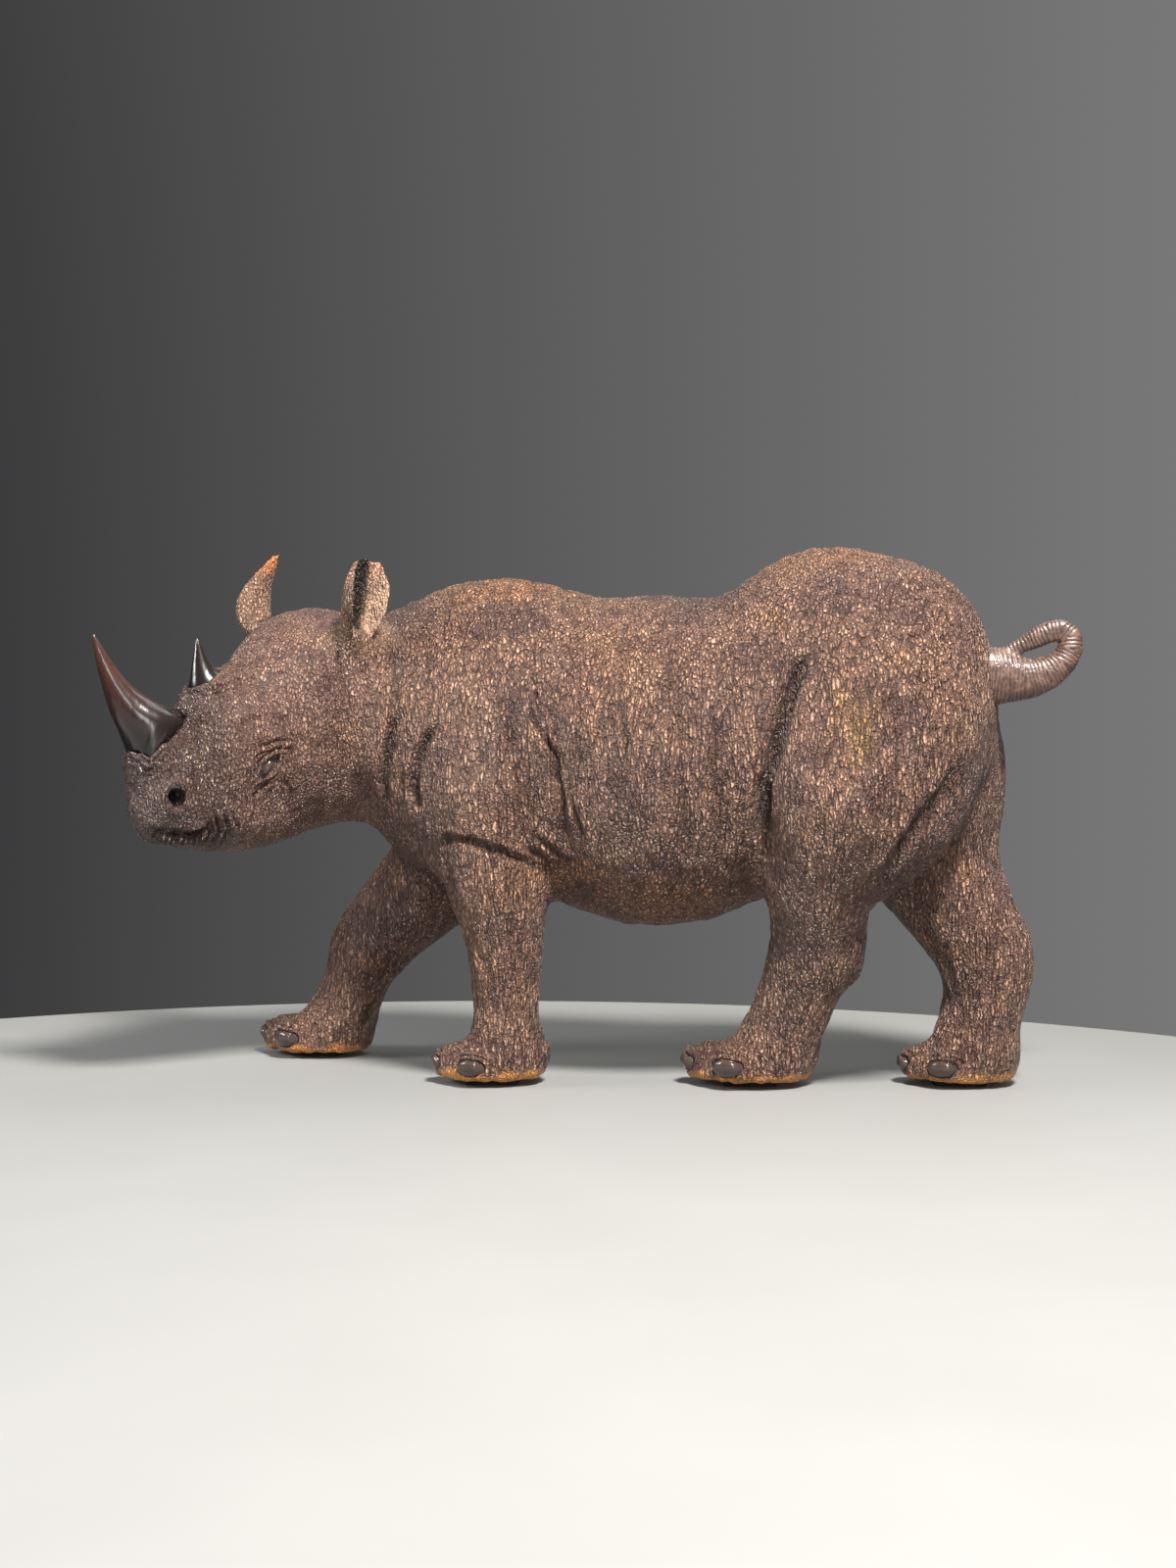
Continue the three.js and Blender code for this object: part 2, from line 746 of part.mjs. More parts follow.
// An egg-shaped solid for a nail, an eye or a hollow: its radii lie along the directions given.
function bead(centre, radii, directions) {
  const geometry = new THREE.SphereGeometry(1, beadSides, beadSides / 2);
  const axes = directions.map((d) => new THREE.Vector3(...d).normalize());
  axes.forEach((axis, i) => axis.multiplyScalar(radii[i] * share));
  if (axes[0].clone().cross(axes[1]).dot(axes[2]) < 0) axes[2].negate();
  const frame = new THREE.Matrix4().makeBasis(...axes);
  frame.setPosition(...centre.map((v) => v * share));
  geometry.applyMatrix4(frame);
  return solidOf(geometry);
}

// Nails on the three toes of a foot, and the clefts behind its outer toes.
function nailsAndClefts({ at, heading, size }) {
  const { toes, nail, cleft } = footPlan;
  const put = ({ degrees, reach, height, radii }) => {
    const angle = THREE.MathUtils.degToRad(heading + degrees);
    const out = [-Math.cos(angle), -Math.sin(angle), 0];
    const across = [Math.sin(angle), -Math.cos(angle), 0];
    const centre = [at[0] + out[0] * reach * size, at[1] + out[1] * reach * size];
    const grown = radii.map((r) => r * size);
    return bead([...centre, soleHeight + height * size], grown, [out, across, [0, 0, 1]]);
  };
  const nails = toes.map(({ turn, reach }) => put({ ...nail, degrees: turn, reach: reach + nail.reach }));
  const clefts = [1, -1].map((side) => put({ ...cleft, degrees: side * cleft.turn }));
  return { nails, clefts };
}

// How far to the side the skull reaches at a place on its profile.
function cheekAt(a, h) {
  let [inner, outer] = [0, 200];
  while (outer - inner > 0.1) {
    const b = (inner + outer) / 2;
    if (skull(a, b, h) < 0) inner = b;
    else outer = b;
  }
  return inner;
}

// An eye on one side: the socket to cut out and the eyeball to set in it.
function eye(side) {
  const { at, slant, socket, ball } = eyePlan;
  const angle = THREE.MathUtils.degToRad(slant);
  const [a, h] = at;
  const centre = (sunk) => fromHead(a, side * (cheekAt(a, h) - sunk), h);
  const origin = fromHead(0, 0, 0);
  const direction = (...v) => fromHead(...v).map((c, i) => c - origin[i]);
  const along = direction(-Math.cos(angle), 0, Math.sin(angle));
  const up = direction(Math.sin(angle), 0, Math.cos(angle));
  const out = direction(0.25, side, 0.1);
  return {
    socket: bead(centre(socket.sunk), socket.radii, [along, up, out]),
    ball: bead(centre(ball.sunk), ball.radii, [along, up, out]),
  };
}

function nostril(side) {
  const { at, radii } = nostrilPlan;
  const [a, h] = at;
  const origin = fromHead(0, 0, 0);
  const direction = (...v) => fromHead(...v).map((c, i) => c - origin[i]);
  const axes = [direction(1, 0, 0.3), direction(-0.3, 0, 1), direction(0, 1, 0)];
  return bead(fromHead(a, side * cheekAt(a, h), h), radii, axes);
}

function mouthSlit(side) {
  const { at, slant, radii, sunk } = mouthPlan;
  const [a, h] = at;
  const angle = THREE.MathUtils.degToRad(slant);
  const origin = fromHead(0, 0, 0);
  const direction = (...v) => fromHead(...v).map((c, i) => c - origin[i]);
  const along = direction(Math.cos(angle), -0.55 * side, Math.sin(angle));
  const out = direction(0.55, side * Math.cos(angle), 0);
  const up = new THREE.Vector3(...along).cross(new THREE.Vector3(...out)).toArray();
  return bead(fromHead(a, side * (cheekAt(a, h) - sunk), h), radii, [along, up, out]);
}

// A closed skin from a grid of points: rows[i][j], where each row is a ring and both ends are capped.
function closedTube(rows) {
  const sides = rows[0].length;
  const points = rows.flat(2);
  const triangles = [];
  for (let i = 0; i + 1 < rows.length; i++) {
    for (let j = 0; j < sides; j++) {
      const [a, b] = [i * sides + j, i * sides + ((j + 1) % sides)];
      triangles.push(a, b, b + sides, a, b + sides, a + sides);
    }
  }
  const middleOf = (row) => [0, 1, 2].map((k) => row.reduce((t, p) => t + p[k], 0) / sides);
  for (const [row, flip] of [[0, true], [rows.length - 1, false]]) {
    const centre = points.length / 3;
    points.push(...middleOf(rows[row]));
    for (let j = 0; j < sides; j++) {
      const [a, b] = [row * sides + j, row * sides + ((j + 1) % sides)];
      triangles.push(...(flip ? [centre, b, a] : [centre, a, b]));
    }
  }
  return { points, triangles };
}

// An ear: a leaf bent into a cup, its wall of even thickness, closed at the foot by the stalk.
function ear(side) {
  const { spine, radii, flatten, open } = side > 0 ? earPlans.left : earPlans.right;
  const [ahead, behind] = side > 0 ? [earCurl.back, earCurl.front] : [earCurl.front, earCurl.back];
  const curve = new THREE.CatmullRomCurve3(
    spine.map(([a, b, h]) => new THREE.Vector3(a, side * b, h)),
  );
  const opening = THREE.MathUtils.degToRad(open);
  const forward = [Math.cos(opening), side * Math.sin(opening)];
  const sideways = [-side * Math.sin(opening), Math.cos(opening)];
  const wall = earWall / share;
  const leaf = [];
  for (let i = 0; i < earRings; i++) {
    const t = i / (earRings - 1);
    const centre = curve.getPoint(t);
    const radius = sampled(radii, t);
    const angleAt = (j) => {
      const share = j / earColumns;
      return THREE.MathUtils.degToRad(sampled(ahead, t) * (1 - share) - sampled(behind, t) * share);
    };
    const at = (angle, r) => {
      const [u, v] = [-Math.cos(angle) * r * flatten, Math.sin(angle) * r];
      return fromHead(
        centre.x + forward[0] * u + sideways[0] * v,
        centre.y + forward[1] * u + sideways[1] * v,
        centre.z,
      );
    };
    const ring = [];
    for (let j = 0; j <= earColumns; j++) ring.push(at(angleAt(j), radius));
    const hollowRadius = Math.max(radius - wall, radius * 0.3);
    for (let j = earColumns; j >= 0; j--) ring.push(at(angleAt(j), hollowRadius));
    leaf.push(ring);
  }
  return solidOf(geometryOf(closedTube(leaf), share));
}

// A value read at t = 0 to 1 from an evenly spaced list, with straight lines between.
function sampled(list, t) {
  const place = t * (list.length - 1);
  const i = Math.min(Math.floor(place), list.length - 2);
  return list[i] + (list[i + 1] - list[i]) * (place - i);
}

// A horn or its socket. The clearance is added all round and under the root.
function hornSolid(plan, clearance = 0) {
  const extra = (clearance * Math.SQRT2) / share;
  const rows = plan.map(({ front, back, half }) => {
    const middle = [(front[0] + back[0]) / 2, (front[1] + back[1]) / 2];
    const length = Math.hypot(front[0] - back[0], front[1] - back[1]) / 2;
    const stretch = (length + extra) / length / 2;
    const way = [(front[0] - back[0]) * stretch, (front[1] - back[1]) * stretch];
    return { middle, way, half: half + extra };
  });
  const [{ middle: root }, { middle: next }] = rows;
  const rise = Math.hypot(next[0] - root[0], next[1] - root[1]);
  const drop = -(hornSeatDepth / share + extra) / rise;
  const foot = [root[0] + (next[0] - root[0]) * drop, root[1] + (next[1] - root[1]) * drop];
  const rings = [{ ...rows[0], middle: foot }, ...rows].map(({ middle, way, half }) =>
    Array.from({ length: hornSides }, (_, j) => {
      const angle = (2 * Math.PI * j) / hornSides;
      const [u, v] = [Math.cos(angle), Math.sin(angle) * half];
      return fromHead(middle[0] + way[0] * u, v, middle[1] + way[1] * u);
    }),
  );
  return solidOf(geometryOf(closedTube(rings), share));
}

const samplingRoom = 10; // clear space kept around a sampled form

// The tail is one strap, thick where it leaves the rump, coiled back on itself to its root.
function tailSkin() {
  const coil = limb(tailSpine, tailBreadth);
  const root = rumpFace - tailSeatDepth / share;
  const strap = (x, y, z) => Math.max(coil(x, y, z, Infinity), root - x);
  const [low, high] = [-1, 1].map((side) =>
    [0, 1, 2].map((k) => {
      const reaches = tailSpine.map((p) => side * p[k] + p[3]);
      return side * (Math.max(...reaches) + samplingRoom);
    }),
  );
  return simplify(polygonise(strap, low, high, tailStep / share), tailTriangles);
}

// The same skin moved outwards by a distance, far enough that it also clears square edges.
function grown({ points, triangles }, distance) {
  const geometry = geometryOf({ points, triangles });
  geometry.computeVertexNormals();
  const normals = geometry.getAttribute("normal").array;
  const reach = distance * Math.SQRT2;
  return { points: points.map((v, i) => v + normals[i] * reach), triangles };
}

// Everything below the soles is cut away, so that each foot is flat underneath.
function ground() {
  const depth = 100;
  const slab = new THREE.BoxGeometry(2 * figureLength, figureLength, depth);
  slab.translate(0, 0, soleHeight * share - depth / 2);
  return solidOf(slab);
}

function padSolid([x, y], heading) {
  const outline = new THREE.Shape();
  const [l, w, r] = [padLength / 2, padWidth / 2, padCornerRadius];
  outline.absarc(l - r, w - r, r, 0, Math.PI / 2);
  outline.absarc(-l + r, w - r, r, Math.PI / 2, Math.PI);
  outline.absarc(-l + r, -w + r, r, Math.PI, 1.5 * Math.PI);
  outline.absarc(l - r, -w + r, r, 1.5 * Math.PI, 2 * Math.PI);
  const plate = { depth: padThickness, bevelEnabled: false, curveSegments: 2 };
  const pad = new THREE.ExtrudeGeometry(outline, plate);
  pad.rotateZ(THREE.MathUtils.degToRad(heading));
  pad.translate(x * share, y * share, 0);
  return solidOf(pad);
}

const frontHorn = hornSolid(frontHornPlan);
const rearHorn = hornSolid(rearHornPlan);
const tail = tailSkin();

// The room that the carving is sampled in: it holds the whole beast but its horns and tail.
const carvingRoom = { low: [-520, -290, -30], high: [440, 190, 570] };

function carvedBody() {
  const rough = polygonise(carving, carvingRoom.low, carvingRoom.high, carvingStep / share);
  let body = solidOf(geometryOf(simplify(rough, carvingTriangles), share));
  for (const side of [1, -1]) {
    const { socket, ball } = eye(side);
    body = body.add(ear(side)).subtract(socket).add(ball);
    body = body.subtract(nostril(side)).subtract(mouthSlit(side));
  }
  for (const leg of Object.values(legs)) {
    const { nails, clefts } = nailsAndClefts(leg.foot);
    for (const nail of nails) body = body.add(nail);
    for (const cleft of clefts) body = body.subtract(cleft);
  }
  for (const plan of [frontHornPlan, rearHornPlan]) body = body.subtract(hornSolid(plan, seatGap));
  const tailSocket = solidOf(geometryOf(grown(tail, seatGap / share), share));
  return body.subtract(tailSocket).subtract(ground());
}

const rhinoceros = new THREE.Group();
rhinoceros.add(piece("body", carvedBody(), hide));
rhinoceros.add(piece("front_horn", frontHorn, polishedHorn));
rhinoceros.add(piece("rear_horn", rearHorn, polishedHorn));
rhinoceros.add(piece("tail", solidOf(geometryOf(tail, share)), wrappedTail));
for (const [name, { foot }] of Object.entries(legs)) {
  const [end, side] = name.split("_");
  rhinoceros.add(piece(`pad_${end}_${side}`, padSolid(foot.at, foot.heading), blackPad));
}

// The origin lies on the floor under the middle of the whole figure.
const extents = new THREE.Box3().setFromObject(rhinoceros);
const middle = extents.getCenter(new THREE.Vector3());
rhinoceros.position.set(-middle.x, -middle.y, 0);

export default rhinoceros;
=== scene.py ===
# %% [markdown]
# # A carved rhinoceros, dressed over its solids
# The import from model.glb brings in the plain solids: one carved body, two horns, a coiled tail and four
# pads.
# Each of them gets its real surface here: the wrinkled hide, the polished horns, the ribbed
# tail. Everything is in metres, with z up, the head towards -X and the left flank towards -Y.

# %% Start from the imported solids
import math

import bpy
import numpy as np
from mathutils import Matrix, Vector


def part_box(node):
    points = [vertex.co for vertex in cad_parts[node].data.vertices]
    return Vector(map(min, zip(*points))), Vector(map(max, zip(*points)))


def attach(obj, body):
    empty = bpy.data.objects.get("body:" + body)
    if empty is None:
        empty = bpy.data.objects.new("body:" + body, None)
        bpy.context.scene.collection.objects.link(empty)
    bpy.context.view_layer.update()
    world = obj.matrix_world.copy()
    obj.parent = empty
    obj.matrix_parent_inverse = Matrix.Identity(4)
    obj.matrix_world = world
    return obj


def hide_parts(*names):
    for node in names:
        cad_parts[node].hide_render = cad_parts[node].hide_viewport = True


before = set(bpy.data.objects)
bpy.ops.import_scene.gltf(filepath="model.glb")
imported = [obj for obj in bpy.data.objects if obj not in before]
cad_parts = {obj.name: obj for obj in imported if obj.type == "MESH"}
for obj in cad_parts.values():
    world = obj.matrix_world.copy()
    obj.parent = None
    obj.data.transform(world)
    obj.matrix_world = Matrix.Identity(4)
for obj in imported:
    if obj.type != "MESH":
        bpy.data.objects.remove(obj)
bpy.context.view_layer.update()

# %% [markdown]
# ## The camera
# The figure is seen from its left, a little from behind, at two thirds of its height and with
# a lens of normal length. A camera object is put at that place and turned along the line of
# sight.

# %% Set up the camera
eye_point = Vector((0.3072, -1.2737, 0.2245))
sight = Vector((-0.2419, 0.9703, -0.0305))
bpy.ops.object.camera_add(location=eye_point, rotation=sight.to_track_quat("-Z", "Y").to_euler())
camera = bpy.context.object
camera.data.lens = 49.18
camera.data.sensor_width = 36
camera.data.clip_start = 0.05
bpy.context.scene.camera = camera
print("camera at", [round(v, 3) for v in camera.location])

# %% [markdown]
# ## Measuring the beast
# The carver's sizes are easiest to read in thousandths of the figure's length, 620 mm. Two
# small functions turn places in the mesh into those thousandths: one for the trunk and legs,
# and one for the head, which is turned fifty degrees to its left. On the head, a runs forwards
# from the poll, b to the beast's left and h upwards.

# %% Thousandths of the length
share = 0.00062
trunk_zero = np.array([0.00009, 0.02223, 0.0])
midline = 15
poll = np.array([-283, -10, 474])
head_turn = math.radians(50)


def on_beast(places):
    return (places - trunk_zero) / share


def on_head(beast):
    d = beast - poll
    cos, sin = math.cos(head_turn), math.sin(head_turn)
    a = -cos * d[:, 0] - sin * d[:, 1]
    b = sin * d[:, 0] - cos * d[:, 1]
    return np.stack([a, b, d[:, 2]], axis=1)


def head_direction(a, b, h):
    cos, sin = math.cos(head_turn), math.sin(head_turn)
    return np.array([-cos * a + sin * b, -sin * a - cos * b, h])


def from_head(a, b, h):
    return (poll + head_direction(a, b, h)) * share + trunk_zero


def rise(value, low, high):
    t = np.clip((value - low) / (high - low), 0, 1)
    return t * t * (3 - 2 * t)


# %% [markdown]
# ## Small tools for meshes
# Operators act on whatever is selected, so one helper selects a single object, and another
# adds a modifier and applies it. Reading and writing all vertices at once with numpy keeps a
# mesh of half a million faces quick.

# %% Mesh helpers
def take(obj):
    if bpy.context.object and bpy.context.object.mode != "OBJECT":
        bpy.ops.object.mode_set(mode="OBJECT")
    bpy.ops.object.select_all(action="DESELECT")
    bpy.context.view_layer.objects.active = obj
    obj.select_set(True)
    return obj


def finish_with(obj, kind, **settings):
    take(obj)
    modifier = obj.modifiers.new(kind, kind)
    for name, value in settings.items():
        setattr(modifier, name, value)
    bpy.ops.object.modifier_apply(modifier=modifier.name)


def places_of(obj):
    flat = np.empty(len(obj.data.vertices) * 3, np.float32)
    obj.data.vertices.foreach_get("co", flat)
    return flat.reshape(-1, 3).astype(float)


def normals_of(obj):
    flat = np.empty(len(obj.data.vertices) * 3, np.float32)
    obj.data.vertex_normals.foreach_get("vector", flat)
    return flat.reshape(-1, 3).astype(float)


def put_places(obj, places):
    obj.data.vertices.foreach_set("co", places.astype(np.float32).ravel())
    obj.data.update()


def triangles_of(obj):
    obj.data.calc_loop_triangles()
    return len(obj.data.loop_triangles)


def copy_of(node, name):
    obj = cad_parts[node].copy()
    obj.data = obj.data.copy()
    obj.name = obj.data.name = name
    obj.parent = None
    for key in list(obj.keys()):
        if key.startswith("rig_"):
            del obj[key]
    bpy.context.scene.collection.objects.link(obj)
    take(obj)
    bpy.ops.object.mode_set(mode="EDIT")
    bpy.ops.mesh.select_all(action="SELECT")
    bpy.ops.mesh.remove_doubles(threshold=1e-6)
    bpy.ops.object.mode_set(mode="OBJECT")
    obj.data.materials.clear()
    return obj


# %% [markdown]
# ## Noise that a carver could have made
# Hide wrinkles at random, but evenly. A value noise gives every corner of a fine grid in space
# a chance number and blends between corners. Averaging it along a short stroke, the grain,
# draws it out into streaks that lie the way the skin is stretched.

# %% Noise and streaks
tumble = np.array([[0.36, 0.48, -0.8], [-0.8, 0.6, 0.0], [0.48, 0.64, 0.6]])


def chance(cell, seed):
    n = cell[:, 0] * 374761393 + cell[:, 1] * 668265263 + cell[:, 2] * 1440670441 + seed * 69069
    n = n.astype(np.uint64) & np.uint64(0xFFFFFFFF)
    n = ((n ^ (n >> np.uint64(13))) * np.uint64(1274126177)) & np.uint64(0xFFFFFFFF)
    return (n ^ (n >> np.uint64(16))).astype(float) / 2147483648.0 - 1


def speckle(places, size, seed=0):
    at = places @ tumble.T / size
    cell = np.floor(at).astype(np.int64)
    t = at - cell
    t = t * t * (3 - 2 * t)
    total = np.zeros(len(at))
    for corner in range(8):
        step = np.array([corner & 1, corner >> 1 & 1, corner >> 2])
        weight = np.prod(np.where(step, t, 1 - t), axis=1)
        total += weight * chance(cell + step, seed)
    return total


def streaks(places, grain, size, seed=0, strokes=7):
    total = np.zeros(len(places))
    for k in range(strokes):
        total += speckle(places + grain * (k / (strokes - 1) - 0.5), size, seed)
    return total / total.std()


# %% [markdown]
# ## Lines cut with a gouge
# Folds and creases are drawn as short lines on the side of the beast or of its face. A gouge
# follows each line: it cuts deepest on the line, throws up a small lip beside it, and fades in
# and out at its ends.

# %% The gouge
def beside(u, v, line):
    gap = np.full(len(u), np.inf)
    along = np.zeros(len(u))
    for i in range(1, len(line)):
        (au, av), (bu, bv) = line[i - 1], line[i]
        du, dv = bu - au, bv - av
        t = np.clip(((u - au) * du + (v - av) * dv) / (du * du + dv * dv), 0, 1)
        here = np.hypot(u - au - t * du, v - av - t * dv)
        nearer = here < gap
        gap = np.where(nearer, here, gap)
        along = np.where(nearer, (i - 1 + t) / (len(line) - 1), along)
    return gap, along


def bell(value, centre, width):
    return np.exp(-(((value - centre) / width) ** 2))


def gouged(u, v, lines, lip=0.3):
    cut = np.zeros(len(u))
    for line, width, depth in lines:
        gap, along = beside(u, v, line)
        fade = rise(along, 0, 0.25) * rise(1 - along, 0, 0.25)
        groove = bell(gap, 0, width)
        thrown_up = bell(gap, 2.1 * width, width)
        cut -= depth * fade * (groove - lip * thrown_up)
    return cut


# %% [markdown]
# ## The hide
# The body solid has the right forms in flat facets. Subdividing rounds the facets, and a voxel
# remesh turns the result into an even skin of small squares, fine enough to carve on. A little
# smoothing takes the last facets out. The places with the smallest work, the eyes, the mouth
# and the nails, are subdivided once more.

# %% Round the solid and remesh it
hide = copy_of("body", "hide")
finish_with(hide, "SUBSURF", levels=2, render_levels=2)
hide_voxel = 0.0016
finish_with(hide, "REMESH", mode="VOXEL", voxel_size=hide_voxel, adaptivity=0)
finish_with(hide, "SMOOTH", factor=0.5, iterations=7)
print("hide remeshed to", triangles_of(hide), "triangles")

# %% Finer faces where the smallest carving is
foot_plans = [
    ((-111, -52), 14, 0.96),
    ((-345, 78), 0, 1.04),
    ((140, 0), 10, 1.08),
    ((341, 52), 10, 0.99),
]
sole_height = 5.3
nail_spots = []
for (foot_x, foot_y), heading, size in foot_plans:
    for turn, reach in ((0, 31), (62, 22), (-62, 22)):
        angle = math.radians(heading + turn)
        far = (reach + 27) * size
        spot = (foot_x - math.cos(angle) * far, foot_y - math.sin(angle) * far, sole_height + 18 * size)
        nail_spots.append((np.array(spot), angle, size))

eye_spot = (117, -159)
face_spots = [(eye_spot, 30), ((204, -188), 16), ((190, -224), 34), ((222, -152), 24), ((152, -84), 24)]


def near_small_work(beast):
    face = on_head(beast)
    wanted = np.zeros(len(beast), bool)
    for (a, h), radius in face_spots:
        close = np.hypot(face[:, 0] - a, face[:, 2] - h) < radius
        wanted |= close & (np.abs(face[:, 1]) > 12)
    for spot, angle, size in nail_spots:
        wanted |= np.linalg.norm(beast - spot, axis=1) < 24
    return wanted


take(hide)
fine = near_small_work(on_beast(places_of(hide)))
hide.data.vertices.foreach_set("select", fine)
bpy.ops.object.mode_set(mode="EDIT")
bpy.ops.mesh.select_mode(type="VERT")
bpy.ops.object.mode_set(mode="OBJECT")
hide.data.vertices.foreach_set("select", fine)
bpy.ops.object.mode_set(mode="EDIT")
bpy.ops.mesh.subdivide(number_cuts=1)
bpy.ops.mesh.select_all(action="DESELECT")
bpy.ops.object.mode_set(mode="OBJECT")
print("with finer faces", triangles_of(hide), "triangles")

# %% [markdown]
# ## Folds of the skin
# The deep fold in front of the thigh, the folds of the neck, the creases over the elbow and
# the long pleats behind the shoulder are each a line with a width and a depth. The widths are
# in thousandths of the length and the depths in millimetres.

# %% Fold lines
flank_lines = [
    ([(208, 428), (199, 404), (183, 352), (169, 303), (165, 270), (167, 236)], 5, 4.5),
    ([(-189, 371), (-200, 344), (-208, 307), (-214, 272)], 4, 3.2),
    ([(-150, 362), (-162, 339), (-174, 313), (-177, 290), (-169, 268)], 4, 3.6),
    ([(-230, 420), (-237, 361), (-248, 327), (-251, 299), (-259, 270)], 4.5, 2.8),
    ([(-170, 376), (-181, 338), (-190, 300), (-192, 268)], 3, 1.4),
    ([(-216, 400), (-224, 345), (-231, 300), (-234, 268)], 3, 1.4),
    ([(-206, 392), (-213, 350), (-220, 308), (-226, 270)], 2.6, 1.0),
    ([(-160, 236), (-138, 245), (-115, 243), (-89, 235), (-65, 223), (-33, 204)], 3.6, 2.6),
    ([(-62, 254), (-35, 231), (-14, 219)], 3, 2.0),
    ([(-70, 240), (-48, 226), (-28, 214)], 2.4, 1.2),
    ([(-65, 400), (-51, 357), (-34, 329), (-29, 301), (-26, 257), (-14, 212)], 3.4, 2.4),
    ([(-43, 394), (-34, 360), (-28, 331), (-20, 295), (-11, 256), (-1, 234)], 2.6, 1.5),
    ([(-54, 396), (-42, 352), (-32, 318), (-24, 280), (-17, 240)], 2.2, 1.1),
    ([(-12, 356), (-9, 338), (-7, 316)], 3, 2.2),
    ([(31, 384), (37, 352), (42, 322)], 2.8, 2.0),
    ([(-64, 430), (-55, 395), (-44, 350)], 2.4, 1.4),
    ([(4, 384), (9, 356), (14, 328)], 2.4, 1.2),
    ([(62, 392), (66, 356), (70, 324)], 2.4, 1.0),
    ([(270, 200), (299, 246), (323, 277), (340, 304), (351, 322)], 5, 3.6),
    ([(-84, 410), (-74, 360), (-60, 300), (-50, 240)], 9, 1.6),
    ([(18, 420), (26, 350), (34, 280), (40, 220)], 10, 1.4),
    ([(88, 420), (92, 350), (96, 280), (98, 220)], 10, 1.2),
    ([(136, 430), (132, 360), (128, 290), (128, 230)], 10, 1.4),
    ([(-206, 440), (-196, 400), (-190, 350)], 6, 1.6),
    ([(-176, 450), (-160, 410), (-150, 370)], 6, 1.2),
]
face_lines = [
    ([(229, -217), (211, -222), (190, -225), (176, -222), (160, -212)], 2.6, 4.2),
    ([(176, -207), (168, -221), (171, -236)], 1.7, 2.6),
    ([(169, -203), (159, -221), (162, -239)], 1.7, 2.4),
    ([(162, -199), (150, -220), (153, -241)], 1.8, 2.0),
    ([(154, -197), (141, -219), (144, -242)], 1.8, 1.4),
    ([(127, -140), (114, -134), (92, -132)], 1.6, 1.8),
    ([(122, -146), (110, -141), (93, -142)], 1.4, 1.4),
    ([(116, -173), (122, -181), (131, -189)], 1.8, 2.2),
    ([(108, -176), (112, -185), (118, -193)], 1.4, 1.0),
    ([(104, -171), (96, -178), (88, -188)], 1.6, 1.0),
    ([(148, -118), (134, -111), (118, -110)], 2.4, 1.0),
    ([(62, -30), (66, -60), (60, -92)], 2.2, 1.2),
    ([(52, -34), (54, -62), (48, -96)], 2.2, 1.2),
    ([(72, -34), (78, -58), (74, -84)], 1.8, 0.8),
]
lip_creases = [([(a, -221), (a - 1, -228), (a - 1, -236)], 1.2, 2.2) for a in range(178, 228, 5)]

# %% [markdown]
# ## Eyes, nostrils, nails and collars
# Each is a small height map in its own axes. An eye is an almond: a ball sunk between two lids,
# with a ridge and a crease round it. A nail is a smooth oval in raised cuffs. The skin is
# gathered into small waves where it meets each horn.

# %% Small forms
eye_slant = math.radians(58)
eye_half_length = 15
eye_half_height = 6.4
eye_side = 30
nostril_side = 8
nail_half_width = 14
nail_half_height = 8


def eye_height(face):
    a, h = face[:, 0] - eye_spot[0], face[:, 2] - eye_spot[1]
    s = -a * math.cos(eye_slant) + h * math.sin(eye_slant)
    t = a * math.sin(eye_slant) + h * math.cos(eye_slant)
    half = eye_half_height * np.clip(1 - 0.5 * (s / eye_half_length) ** 2, 0.3, 1)
    r = np.hypot(s / eye_half_length, t / half)
    above = rise(t, -4, 4)
    ball = np.where(r < 1, 2.0 * (1 - r * r) - 2.6, 0)
    lids = 1.6 * bell(r, 1.36, 0.22) + 0.9 * bell(r, 2.15, 0.2) + 0.8 * bell(r, 2.9, 0.3) * above
    creases = 1.5 * bell(r, 1.82, 0.18) + 1.2 * bell(r, 2.5, 0.2) * above
    return (ball + lids - creases) * (np.abs(face[:, 1]) > eye_side), r


def nostril_height(face):
    r = np.hypot((face[:, 0] - 205) / 7, (face[:, 2] + 188) / 9)
    pit = -4.5 * rise(-r, -1.1, -0.4)
    rim = 1.3 * bell(r, 1.65, 0.4)
    return (pit + rim) * (np.abs(face[:, 1]) > nostril_side), r


def nail_height(beast):
    height = np.zeros(len(beast))
    nearest = np.full(len(beast), 9.0)
    for spot, angle, size in nail_spots:
        d = (beast - spot) / size
        out = -math.cos(angle) * d[:, 0] - math.sin(angle) * d[:, 1]
        across = math.sin(angle) * d[:, 0] - math.cos(angle) * d[:, 1]
        r = np.hypot(across / nail_half_width, (d[:, 2] + 2) / nail_half_height)
        r = np.where(out > -12, r, 9)
        cuffs = 1.1 * bell(r, 1.36, 0.14) + 0.8 * bell(r, 1.78, 0.12) - 0.9 * bell(r, 1.58, 0.09)
        height += cuffs * rise(d[:, 2], -6, 2) - 1.4 * bell(r, 1.12, 0.1)
        nearest = np.minimum(nearest, r)
    return height, nearest


front_seam = [(249, -120), (242, -131), (235, -150), (227, -159), (216, -147), (202, -130), (176, -107)]
rear_seam = [(175, -84), (152, -77), (131, -67)]
collar_pitch = 5.2


def collar_height(face, wobble):
    height = np.zeros(len(face))
    for seam, reach, size in ((front_seam, 15, 0.9), (rear_seam, 17, 1.2)):
        gap = beside(face[:, 0], face[:, 2], seam)[0]
        waves = np.cos(2 * math.pi * (gap + 1.3 * wobble) / collar_pitch)
        height += size * waves * rise(-gap, -reach, -2)
    return height * (np.abs(face[:, 1]) > 5) * (np.abs(face[:, 1]) < 60)
